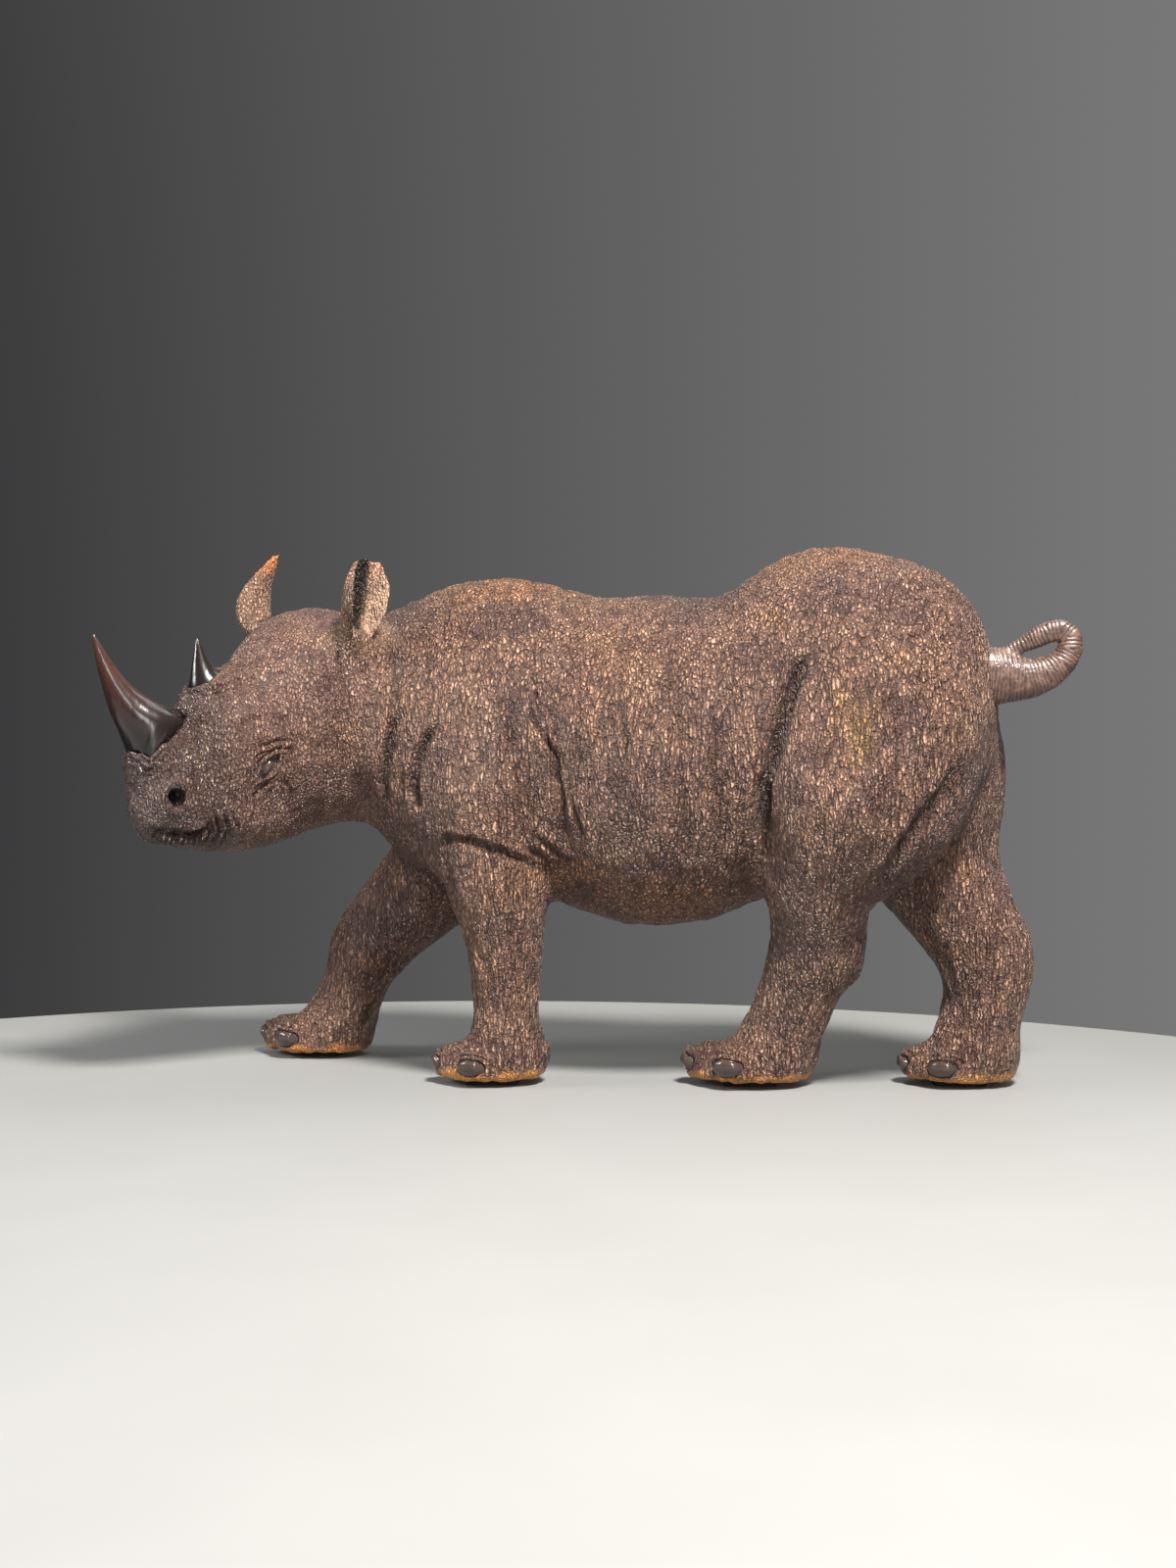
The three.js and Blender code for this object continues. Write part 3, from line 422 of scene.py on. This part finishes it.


# %% [markdown]
# ## Inside the ears
# An ear is a curled leaf round a curved middle line. What lies well inside its curl is the
# bare inner skin, pale on the back wall, with painted shade, nearly black, behind the front lip.

# %% The hollow of an ear
ear_lines = {
    1: ([(34, 80, -42), (34, 100, -14), (32, 111, 16), (28, 108, 45)], (13, 19, 26, 29, 27, 17), 0.85, 92),
    -1: ([(36, 80, -42), (48, 102, -14), (45, 110, 20), (23, 100, 63)], (13, 19, 23, 22, 15, 5), 0.8, 70),
}


def ear_hollow(face, normals):
    pale = np.zeros(len(face))
    black = np.zeros(len(face))
    for side, (line, radii, flatness, opening) in ear_lines.items():
        line = np.array(line, float)
        middle_a = np.interp(face[:, 2], line[:, 2], line[:, 0])
        middle_b = np.interp(face[:, 2], line[:, 2], side * line[:, 1])
        heights = np.linspace(line[0, 2], line[-1, 2], len(radii))
        radius = np.interp(face[:, 2], heights, radii)
        cos, sin = math.cos(math.radians(opening)), math.sin(math.radians(opening))
        d_a, d_b = face[:, 0] - middle_a, face[:, 1] - middle_b
        out = (d_a * cos + d_b * side * sin) / flatness
        ahead = d_a * sin - d_b * side * cos
        far = np.hypot(out, ahead) / radius
        towards = np.stack(head_direction(d_a, d_b, 0 * d_a), axis=1)
        towards /= np.linalg.norm(towards, axis=1)[:, None] + 1e-9
        facing = -np.sum(normals * towards, axis=1)
        inner = rise(-far, -1.0, -0.9) * rise(facing, -0.1, 0.3) * (face[:, 1] * side > 70)
        front = rise(ahead / radius, -0.45, -0.1)
        pale = np.maximum(pale, inner * (1 - front))
        # the black behind the front lip is painted shade
        black = np.maximum(black, inner * front)
    return pale, black


# %% [markdown]
# ## The lie of the skin
# The streaks hang down the flanks, run round under the belly, lean back over the rump, follow
# the stride of each leg and flow from the poll towards the nose. On the back and the muzzle
# they break up into small pebbles.

# %% Grain of the hide
leg_axes = [
    ((-112, -60, 200), (-97, -55, 60), 62, (0, 0, 1)),
    ((-210, 82, 198), (-318, 78, 48), 62, (0.6, 0, 0.8)),
    ((220, -34, 205), (180, -6, 55), 62, (0.26, 0, 0.97)),
    ((330, 62, 205), (360, 53, 50), 66, (-0.12, 0, 0.99)),
]


def leg_weight(beast, top, bottom, radius):
    top, bottom = np.array(top, float), np.array(bottom, float)
    d = bottom - top
    t = np.clip((beast - top) @ d / (d @ d), 0, 1)
    gap = np.linalg.norm(beast - top - t[:, None] * d, axis=1)
    return rise(-gap, -radius, -radius * 0.6) * rise(-beast[:, 2], -250, -180)


def region_weights(beast):
    face = on_head(beast)
    a, b, h = face.T
    far = np.sqrt(((a - 95) / 190) ** 2 + (b / 125) ** 2 + ((h + 110) / 190) ** 2)
    head = rise(-far, -1.05, -0.85) * rise(a, -12, 24)
    ear = rise(np.abs(b), 62, 74) * rise(h, -50, -34) * rise(a, -14, 0)
    head = np.maximum(head, ear)
    muzzle = rise(a - 0.1 * (h + 150), 132, 172) * head * (1 - ear)
    rump = rise(beast[:, 0], 190, 270) * rise(beast[:, 2], 250, 330)
    back = rise(beast[:, 2], 415, 470) * (1 - head)
    neck = rise(-beast[:, 0], 165, 205) * (1 - head) * rise(beast[:, 2], 220, 300)
    return dict(head=head, ear=ear, muzzle=muzzle, rump=rump, back=back, neck=neck)


def grain_of(beast, normals, weights):
    x_axis, z_axis = np.array([1.0, 0, 0]), np.array([0, 0, 1.0])
    hoop = np.cross(normals, x_axis)
    way = np.where(hoop[:, 2] < 0, -1.0, 1.0)[:, None]
    ends = rise(np.abs(normals[:, 0]), 0.6, 0.9)[:, None]
    lie = hoop * way * (1 - ends) + z_axis * ends
    lie = lie + x_axis * (0.75 * weights["rump"])[:, None]
    lie = lie - x_axis * (0.2 * weights["neck"])[:, None]
    for top, bottom, radius, axis in leg_axes:
        near = leg_weight(beast, top, bottom, radius)[:, None]
        lie = lie * (1 - near) + np.array(axis) * near
    down_face = head_direction(-0.55, 0, 0.85)
    head = weights["head"][:, None]
    lie = lie * (1 - head) + down_face * head
    lie -= normals * np.sum(lie * normals, axis=1)[:, None]
    lie /= np.linalg.norm(lie, axis=1)[:, None] + 1e-9
    length = 0.013 - 0.009 * weights["back"] - 0.0075 * weights["head"] - 0.002 * weights["muzzle"]
    length = np.where(weights["ear"] > 0.5, 0.012, length)
    return lie * length[:, None]


# %% Carve the folds and the small forms
def outward(beast):
    return rise(np.abs(beast[:, 1] - midline), 50, 70)


spots = places_of(hide)
normals = normals_of(hide)
beast = on_beast(spots)
face = on_head(beast)
weights = region_weights(beast)
wobble = speckle(spots, 0.009, 5)
flank_u = beast[:, 0] + 1.6 * wobble
flank_v = beast[:, 2] + 1.6 * speckle(spots, 0.009, 6)
height = gouged(flank_u, flank_v, flank_lines) * outward(beast) * (1 - weights["head"])
side_face = rise(np.abs(face[:, 1]), 4, 14) * weights["head"] * (1 - weights["ear"])
face_u = face[:, 0] + 0.8 * wobble
height += gouged(face_u, face[:, 2], face_lines) * side_face
height += gouged(face_u, face[:, 2], lip_creases, lip=0.5) * side_face
height += (eye_height(face)[0] + nostril_height(face)[0]) * weights["head"] + nail_height(beast)[0]
height += collar_height(face, wobble) * weights["head"] * (1 - weights["ear"])
spots = spots + normals * (height * 0.001)[:, None]
put_places(hide, spots)
finish_with(hide, "SMOOTH", factor=0.3, iterations=1)
full_fold = 2.2
fold_depth = np.clip(-height / full_fold, 0, 1)
print("deepest cut", round(float(height.min()), 2), "mm")

# %% [markdown]
# ## Wrinkles
# Tooled hide is a felt of short ridges with valleys as wide as themselves. The larger ones are
# cut into the mesh: streaks that are squeezed at top and bottom, so that ridges and valleys
# come out even. Low lumps below them keep the light from lying flat. Nails and eyes stay
# smooth, and the ears get half of it.

# %% Cut the wrinkles
spots = places_of(hide)
normals = normals_of(hide)
beast = on_beast(spots)
weights = region_weights(beast)
grain = grain_of(beast, normals, weights)
ridge_size = 0.0044
relief = np.tanh(0.9 * streaks(spots, grain, ridge_size, seed=11))
lumps = speckle(spots, 0.02, 13) + 0.5 * speckle(spots, 0.011, 14)
nail_part = rise(-nail_height(beast)[1], -1.2, -1.05)
eye_part = rise(-eye_height(on_head(beast))[1], -1.1, -0.95)
calm = (1 - np.maximum(nail_part, eye_part)) * (1 - 0.5 * weights["ear"])
wrinkle_depth = 0.0006
lump_height = 0.0005
depth = wrinkle_depth * (1 - 0.35 * weights["head"]) * calm
raised = (relief - 0.3) * depth + lumps * lump_height * calm
spots = spots + normals * raised[:, None]
lo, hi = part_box("body")
spots = np.clip(spots, np.array(lo), np.array(hi))
put_places(hide, spots)


def store(obj, name, values):
    layer = obj.data.attributes.new(name, "FLOAT", "POINT")
    layer.data.foreach_set("value", values.astype(np.float32))


# relief and fold are read by the material to paint shade into the wrinkle valleys and the folds
store(hide, "relief", relief)
store(hide, "fold", fold_depth)
most_triangles = 196000
finish_with(hide, "DECIMATE", ratio=most_triangles / triangles_of(hide), use_collapse_triangulate=True)
print("hide thinned to", triangles_of(hide), "triangles")

# %% [markdown]
# ## Where the stains lie
# The colour changes in places that only the form explains: the soles and heels have worn to tan,
# the ear rims to amber, the nose has gone grey black, and the nostril pits and ear slots get
# painted shade. Each becomes a number stored on the vertices, which the material reads later.

# %% Store the stain maps
spots = places_of(hide)
normals = normals_of(hide)
beast = on_beast(spots)
face = on_head(beast)
weights = region_weights(beast)
on_side = np.abs(face[:, 1])
pale, black = ear_hollow(face, normals)
store(hide, "nail", rise(-nail_height(beast)[1], -1.2, -1.02))
eye_part = rise(-eye_height(face)[1], -1.05, -0.9) * (on_side > eye_side)
# the nostril pit is painted near black as shade
pit_shade = rise(-nostril_height(face)[1], -1.1, -0.8) * (on_side > nostril_side)
store(hide, "eye", eye_part * weights["head"])
store(hide, "pit", pit_shade * weights["head"])
store(hide, "sole", rise(-beast[:, 2] + 5 * speckle(spots, 0.008, 31), -17, -9))
store(hide, "amber", weights["ear"] * rise(face[:, 2] + 6 * speckle(spots, 0.006, 32), 30, 52))
store(hide, "ear_pale", pale * weights["ear"])
store(hide, "ear_slot_shade", black * weights["ear"])
for name in ("ear", "head", "muzzle"):
    store(hide, name, weights[name])
print("wear stored on", len(spots), "places")

# %% [markdown]
# The stains of the flanks, and a patch of painted shade in one hollow, are soft ovals. Each has
# its middle, its half-widths and a strength, and noise lets its edge drift.

# %% Store the flank stains
side_u = beast[:, 0] + 14 * speckle(spots, 0.022, 41) + 6 * speckle(spots, 0.008, 42)
side_v = beast[:, 2] + 14 * speckle(spots, 0.022, 43) + 6 * speckle(spots, 0.008, 44)


def stained(places):
    total = np.zeros(len(side_u))
    for u, v, half_u, half_v, strength in places:
        here = strength * bell(side_u, u, half_u) * bell(side_v, v, half_v)
        total = np.maximum(total, here)
    return total


store(hide, "tan", stained([
    (-108, 500, 62, 22, 1.0), (201, 530, 70, 22, 0.9), (20, 400, 50, 60, 0.35),
    (-30, 205, 46, 20, 0.8), (60, 188, 50, 18, 0.7), (-105, 110, 30, 50, 0.4), (250, 360, 26, 60, 0.4),
]))
store(hide, "grey", stained([
    (-212, 474, 52, 24, 1.0), (90, 480, 70, 14, 0.8), (183, 164, 26, 34, 0.8),
    (-272, 144, 24, 30, 0.8), (-100, 320, 30, 50, 0.3), (330, 140, 24, 40, 0.3), (300, 200, 24, 30, 0.4),
]))
# dark ovals: darker patches of the hide, and at (279, 305) painted shade in a hollow
store(hide, "dark", stained([
    (-44, 309, 12, 26, 0.8), (-58, 280, 12, 20, 0.7), (279, 305, 14, 14, 0.8), (348, 318, 18, 60, 0.6),
    (200, 230, 16, 30, 0.4), (290, 210, 22, 34, 0.6), (-262, 330, 14, 50, 0.5),
]))
store(hide, "yellow", stained([(260, 351, 9, 26, 0.9), (240, 372, 8, 14, 0.5)]))
bpy.ops.object.shade_smooth()
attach(hide, "root")
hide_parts("body")
print("stains stored on", len(spots), "places")

# %% [markdown]
# ## Writing materials as sums
# A material is a graph of nodes. One small class wraps a socket, so that a sum or a product
# of sockets in Python adds the Math node that does it. A Finish holds one material and adds
# any other node by its type, its settings and its inputs.

# %% Sockets as numbers
class Wire:
    def __init__(self, finish, socket):
        self.finish = finish
        self.socket = socket

    def maths(self, operation, *others):
        values = dict(enumerate((self, *others)))
        return self.finish.node("ShaderNodeMath", {"operation": operation}, values)

    def __add__(self, other):
        return self.maths("ADD", other)

    def __sub__(self, other):
        return self.maths("SUBTRACT", other)

    def __mul__(self, other):
        return self.maths("MULTIPLY", other)

    def __rsub__(self, other):
        return (self * -1) + other

    __radd__ = __add__
    __rmul__ = __mul__

    def __abs__(self):
        return self.maths("ABSOLUTE")

    def limited(self):
        return self.finish.node(
            "ShaderNodeMath", {"operation": "ADD", "use_clamp": True}, {0: self, 1: 0.0}
        )

    def rising(self, low, high):
        settings = {"interpolation_type": "SMOOTHSTEP"}
        return self.finish.node("ShaderNodeMapRange", settings, {0: self, 1: low, 2: high})


class Finish:
    def __init__(self, name, **shader):
        self.material = bpy.data.materials.new(name)
        self.material.use_nodes = True
        self.tree = self.material.node_tree
        self.tree.nodes.clear()
        self.shader = self.tree.nodes.new("ShaderNodeBsdfPrincipled")
        output = self.tree.nodes.new("ShaderNodeOutputMaterial")
        self.tree.links.new(self.shader.outputs[0], output.inputs[0])
        for key, value in shader.items():
            self.set(key.replace("_", " "), value)

    def join(self, value, socket):
        if isinstance(value, Wire):
            self.tree.links.new(value.socket, socket)
        else:
            socket.default_value = value

    def set(self, name, value):
        self.join(value, self.shader.inputs[name])

    def node(self, kind, settings=None, inputs=None, output=0):
        made = self.tree.nodes.new(kind)
        for name, value in (settings or {}).items():
            setattr(made, name, value)
        for name, value in (inputs or {}).items():
            self.join(value, made.inputs[name])
        return Wire(self, made.outputs[output])

    def place(self):
        return self.node("ShaderNodeTexCoord", output=3)

    def stored(self, name):
        return self.node("ShaderNodeAttribute", {"attribute_name": name}, output=2)

    def shifted(self, vector, by, amount):
        values = {0: by, 1: (amount,) * 3, 2: vector}
        return self.node("ShaderNodeVectorMath", {"operation": "MULTIPLY_ADD"}, values)

    def stretched(self, vector, scale):
        return self.node("ShaderNodeVectorMath", {"operation": "MULTIPLY"}, {0: vector, 1: scale})

    def distance(self, vector, place):
        values = {0: vector, 1: tuple(place)}
        return self.node("ShaderNodeVectorMath", {"operation": "DISTANCE"}, values, output=1)

    def noise(self, vector, size, detail=0, roughness=0.5):
        values = {"Vector": vector, "Scale": 1 / size, "Detail": detail, "Roughness": roughness}
        return self.node("ShaderNodeTexNoise", {}, values)

    def mixed(self, below, above, amount):
        values = {0: amount, 6: below, 7: above}
        return self.node("ShaderNodeMix", {"data_type": "RGBA"}, values, output=2)

    def bump(self, height, distance):
        values = {"Strength": 1.0, "Distance": distance, "Height": height}
        return self.node("ShaderNodeBump", {}, values)


def paint(red, green, blue):
    def linear(v):
        v /= 255
        return v / 12.92 if v <= 0.04045 else ((v + 0.055) / 1.055) ** 2.4
    return (linear(red), linear(green), linear(blue), 1.0)


# %% [markdown]
# ## The finish of the hide
# The skin is a waxed brown, with painted shade in the creases and painted highlights on the ridges.
# Broad stains of tan, purple brown and grey drift over it. The finest wrinkles are too small
# for the mesh, so small cells drawn out in height, with long creases between them, are raised
# as a bump. Each layer of colour below is laid over the ones before it.

# %% The hide's material
skin = Finish("waxed_hide", IOR=1.5)
where = skin.place()


def scales(size, squeeze):
    rough = {"Vector": where, "Scale": 1 / (size * 1.6), "Detail": 1}
    shaken = skin.node("ShaderNodeTexNoise", {}, rough, output=1)
    moved = skin.shifted(skin.stretched(where, squeeze), shaken, size * 1.1)
    values = {"Vector": moved, "Scale": 1 / size, "Randomness": 1.0}
    return skin.node("ShaderNodeTexVoronoi", {"feature": "DISTANCE_TO_EDGE"}, values)


def long_creases(size, squeeze, width):
    waved = skin.noise(skin.stretched(where, squeeze), size, detail=1, roughness=0.4)
    return abs(waved - 0.5).rising(0, width)


flank_scales = scales(0.002, (1, 1, 0.26)).rising(0.0, 0.34)
head_scales = scales(0.0017, (1, 1, 0.4)).rising(0.0, 0.34)
creases = long_creases(0.0046, (1, 1, 0.16), 0.06)
pebble = skin.noise(skin.stretched(where, (1, 1, 0.7)), 0.0012, detail=2, roughness=0.6)
pebble = pebble.rising(0.35, 0.65)
grit = skin.noise(where, 0.0005)
drift = skin.noise(where, 0.085, detail=3, roughness=0.6)
blotch = skin.noise(skin.stretched(where, (1, 1, 1.4)), 0.034, detail=3, roughness=0.6)
highlight_mottle = skin.noise(where, 0.006, detail=2)
stain_names = (
    "relief", "fold", "head", "muzzle", "ear", "ear_pale", "ear_slot_shade", "amber",
    "tan", "grey", "dark", "yellow", "nail", "eye", "pit", "sole",
)
stain = {name: skin.stored(name) for name in stain_names}
bumps = flank_scales * (1 - stain["head"]) + head_scales * stain["head"]
glossy = (stain["nail"] + stain["eye"]).limited()

layers = [
    (paint(170, 132, 109), drift.rising(0.42, 0.6)),
    (paint(112, 82, 78), blotch.rising(0.5, 0.62) * 0.85),
    (paint(206, 152, 100), blotch.rising(0.4, 0.3) * 0.5),
    (paint(214, 152, 96), stain["tan"] * 0.7),
    (paint(100, 86, 80), stain["grey"] * 0.9),
    (paint(122, 94, 90), stain["head"] * (1 - stain["ear"]) * 0.5),
    (paint(216, 176, 98), stain["yellow"] * 0.8),
    # darker patches, partly painted shade in a hollow
    (paint(70, 48, 42), stain["dark"] * 0.7),
    (paint(72, 68, 71), stain["muzzle"] * 0.9),
    (paint(196, 158, 126), stain["ear"] * 0.5),
    # painted highlight: light flecks on the tops of the scales and pebbles
    (paint(232, 206, 180), bumps * pebble * highlight_mottle.rising(0.3, 0.6) * 0.42),
    # painted shade: darker in the scale edges, between pebbles, in the long creases, in the wrinkle
    # valleys and in the folds
    (paint(42, 24, 19), (1 - bumps) * 0.84),
    (paint(84, 58, 48), (1 - pebble) * 0.36),
    (paint(46, 29, 25), (1 - creases) * (1 - stain["head"] * 0.6) * 0.75),
    (paint(60, 40, 35), stain["relief"].rising(-0.2, -0.9) * 0.4),
    (paint(34, 22, 20), stain["fold"] * 0.65),
    (paint(204, 140, 66), stain["sole"] * 0.8),
    (paint(196, 112, 50), stain["amber"] * 0.5),
    (paint(190, 160, 138), stain["ear_pale"] * (0.25 + creases * 0.4)),
    # painted shade: nearly black in the slot behind the ear's front lip
    (paint(22, 14, 12), stain["ear_slot_shade"]),
    (paint(62, 52, 49), glossy),
    # painted shade: the nostril pit near black
    (paint(16, 10, 10), stain["pit"]),
]
colour = paint(152, 119, 103)
for tint, amount in layers:
    colour = skin.mixed(colour, tint, amount)

warmth = (1.08, 1.0, 0.95)
wrinkle_height = 0.0024
roughness = 0.45 - bumps * 0.12 - stain["muzzle"] * 0.14
skin.set("Base Color", skin.stretched(colour, warmth))
skin.set("Roughness", roughness * (1 - glossy * 0.62))
height_map = (bumps * 0.6 + creases * 0.5 + pebble * 0.3 + grit * 0.1) * (1 - glossy)
skin.set("Normal", skin.bump(height_map * (1 - stain["head"] * 0.3), wrinkle_height))
hide.data.materials.append(skin.material)
print("hide finish has", len(skin.tree.nodes), "nodes")

# %% [markdown]
# ## The horns
# A horn is carved on its own, polished and let into the head. The solids already have its
# rings, from the saddle at the root to the tip. Subdividing rounds them, a fine voxel remesh
# makes one even skin, and a little smoothing takes out the last edges.

# %% Make the horns
def dressed_node(node, name, voxel, passes):
    obj = copy_of(node, name)
    finish_with(obj, "SUBSURF", levels=2, render_levels=2)
    finish_with(obj, "REMESH", mode="VOXEL", voxel_size=voxel, adaptivity=0)
    finish_with(obj, "SMOOTH", factor=0.5, iterations=passes)
    bpy.ops.object.shade_smooth()
    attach(obj, "root")
    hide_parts(node)
    return obj


front_horn = dressed_node("front_horn", "front_horn_polished", 0.0009, 4)
rear_horn = dressed_node("rear_horn", "rear_horn_polished", 0.0007, 4)
for horn in (front_horn, rear_horn):
    print(horn.name, triangles_of(horn), "triangles")

# %% The horns' material
polish = Finish("polished_horn", IOR=1.52, Coat_Weight=0.3, Coat_Roughness=0.12)
horn_place = polish.place()
tip = from_head(271, 0, -31)
warm = polish.distance(horn_place, tip).rising(0.075, 0.01)
streak = polish.noise(polish.stretched(horn_place, (1, 1, 0.2)), 0.0022, detail=2)
horn_colour = polish.mixed(paint(24, 19, 19), paint(76, 46, 38), warm * 0.7)
horn_colour = polish.mixed(horn_colour, paint(20, 14, 14), streak.rising(0.5, 0.7) * 0.5)
polish.set("Base Color", horn_colour)
polish.set("Roughness", 0.16 + streak * 0.14)
polish.set("Normal", polish.bump(streak, 0.00012))
for horn in (front_horn, rear_horn):
    horn.data.materials.append(polish.material)
print("horn finish has", len(polish.tree.nodes), "nodes")

# %% [markdown]
# ## The tail
# The tail is a strap wound with thin cord-like ribs that cross it. Ribs are a wave along the
# strap's middle line, so each vertex is measured along that line first.

# %% Make the tail
tail_line = np.array([
    (361, 405), (374, 403), (389, 401), (408, 400), (426, 406), (440, 416), (447, 429),
    (447, 441), (438, 448), (426, 445), (414, 439), (402, 433), (389, 427), (374, 421),
], float)
tail = dressed_node("tail", "ribbed_tail", 0.0007, 3)
spots = places_of(tail)
normals = normals_of(tail)
beast = on_beast(spots)
steps = np.r_[0, np.cumsum(np.linalg.norm(np.diff(tail_line, axis=0), axis=1))]
gap = np.full(len(spots), np.inf)
along = np.zeros(len(spots))
for i in range(len(tail_line) - 1):
    d = tail_line[i + 1] - tail_line[i]
    t = np.clip(((beast[:, [0, 2]] - tail_line[i]) @ d) / (d @ d), 0, 1)
    here = np.linalg.norm(beast[:, [0, 2]] - tail_line[i] - t[:, None] * d, axis=1)
    nearer = here < gap
    gap = np.where(nearer, here, gap)
    along = np.where(nearer, steps[i] + t * (steps[i + 1] - steps[i]), along)
rib_pitch = 3.6
rib_height = 0.0009
rib_phase = (along + 0.9 * speckle(spots, 0.004, 21) + 0.12 * (beast[:, 1] - midline)) / rib_pitch
ribs = np.abs(np.sin(math.pi * rib_phase)) ** 0.7
store(tail, "rib", ribs)
spots = spots + normals * ((ribs - 0.9) * rib_height)[:, None]
tail_low, tail_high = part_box("tail")
put_places(tail, np.clip(spots, np.array(tail_low), np.array(tail_high)))
print("tail", triangles_of(tail), "triangles")

# %% The tail's material
strap = Finish("ribbed_strap", IOR=1.5, Coat_Weight=0.25, Coat_Roughness=0.25)
rib_map = strap.stored("rib")
strap_noise = strap.noise(strap.place(), 0.006, detail=3)
strap_colour = strap.mixed(paint(76, 54, 46), paint(104, 78, 66), strap_noise.rising(0.4, 0.65))
# painted shade: near black in the grooves between the ribs
strap_colour = strap.mixed(paint(38, 24, 20), strap_colour, rib_map.rising(0.2, 0.75))
strap.set("Base Color", strap_colour)
strap.set("Roughness", 0.5 - rib_map * 0.15)
strap.set("Normal", strap.bump(strap.noise(strap.place(), 0.001, detail=2), 0.0002))
tail.data.materials.append(strap.material)
print("tail finish has", len(strap.tree.nodes), "nodes")

# %% [markdown]
# ## The pads
# A thin black felt pad is stuck under each sole. The solids already have their shape, so they
# only need a dull, slightly furry finish.

# %% The pads' material
felt = Finish("black_felt", Roughness=0.95)
fuzz = felt.noise(felt.place(), 0.0009, detail=3)
felt.set("Base Color", felt.mixed(paint(12, 12, 12), paint(30, 29, 28), fuzz))
felt.set("Normal", felt.bump(fuzz, 0.0004))
for name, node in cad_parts.items():
    if name.startswith("pad_"):
        node.data.materials.clear()
        node.data.materials.append(felt.material)
        print(name, "has its felt")

# %% [markdown]
# ## The floor, the light and the backdrop
# A pale table stands in a plain grey studio, darker to the left. A small soft box high in front
# is the main light, so that it rakes over the wrinkles. Weaker ones fill in from the left, from
# low in front and from behind.

# %% Floor, lights and world
table_depth = 0.03
table_place = (0, -0.34, -table_depth / 2)
bpy.ops.mesh.primitive_cylinder_add(vertices=128, radius=0.72, depth=table_depth, location=table_place)
table_top = bpy.context.object
table_top.name = "table_top"
finish_with(table_top, "BEVEL", width=0.002, segments=3)
bpy.ops.object.transform_apply(location=True)
floor_paint = Finish("pale_floor", Roughness=0.55)
cloud = floor_paint.noise(floor_paint.place(), 0.12, detail=4)
floor_paint.set("Base Color", floor_paint.mixed(paint(132, 132, 130), paint(139, 139, 137), cloud))
table_top.data.materials.append(floor_paint.material)


def soft_box(name, place, target, size, power, colour=(1, 1, 1)):
    away = Vector(target) - Vector(place)
    turn = away.to_track_quat("-Z", "Y").to_euler()
    bpy.ops.object.light_add(type="AREA", location=place, rotation=turn)
    lamp = bpy.context.object
    lamp.name = name
    lamp.data.shape = "SQUARE"
    lamp.data.size = size
    lamp.data.energy = power
    lamp.data.color = colour
    print("light", name, power, "W")


soft_box("key", (0.55, -0.8, 1.45), (0, 0, 0.15), 0.3, 82, (1.0, 0.97, 0.93))
soft_box("fill", (-1.2, -0.5, 0.7), (0, 0, 0.18), 0.5, 14, (0.96, 0.98, 1.0))
soft_box("low", (0.5, -1.3, 0.3), (0, 0, 0.1), 0.5, 6)
soft_box("top", (0.1, 0.5, 1.4), (0, 0, 0.15), 0.9, 6)

wall_left, wall_right = -0.55, 0.1
world = bpy.data.worlds.new("studio_wall")
bpy.context.scene.world = world
world.use_nodes = True
wall = world.node_tree
wall.nodes.clear()
direction = wall.nodes.new("ShaderNodeTexCoord")
split = wall.nodes.new("ShaderNodeSeparateXYZ")
spread = wall.nodes.new("ShaderNodeMapRange")
spread.inputs["From Min"].default_value = wall_left
spread.inputs["From Max"].default_value = wall_right
ramp = wall.nodes.new("ShaderNodeValToRGB")
ramp.color_ramp.elements[0].color = paint(46, 46, 48)
ramp.color_ramp.elements[1].color = paint(126, 126, 126)
surround = wall.nodes.new("ShaderNodeBackground")
world_out = wall.nodes.new("ShaderNodeOutputWorld")
wall.links.new(direction.outputs["Generated"], split.inputs[0])
wall.links.new(split.outputs["X"], spread.inputs[0])
wall.links.new(spread.outputs[0], ramp.inputs[0])
wall.links.new(ramp.outputs[0], surround.inputs[0])
wall.links.new(surround.outputs[0], world_out.inputs[0])
bpy.context.scene.view_settings.view_transform = "Standard"
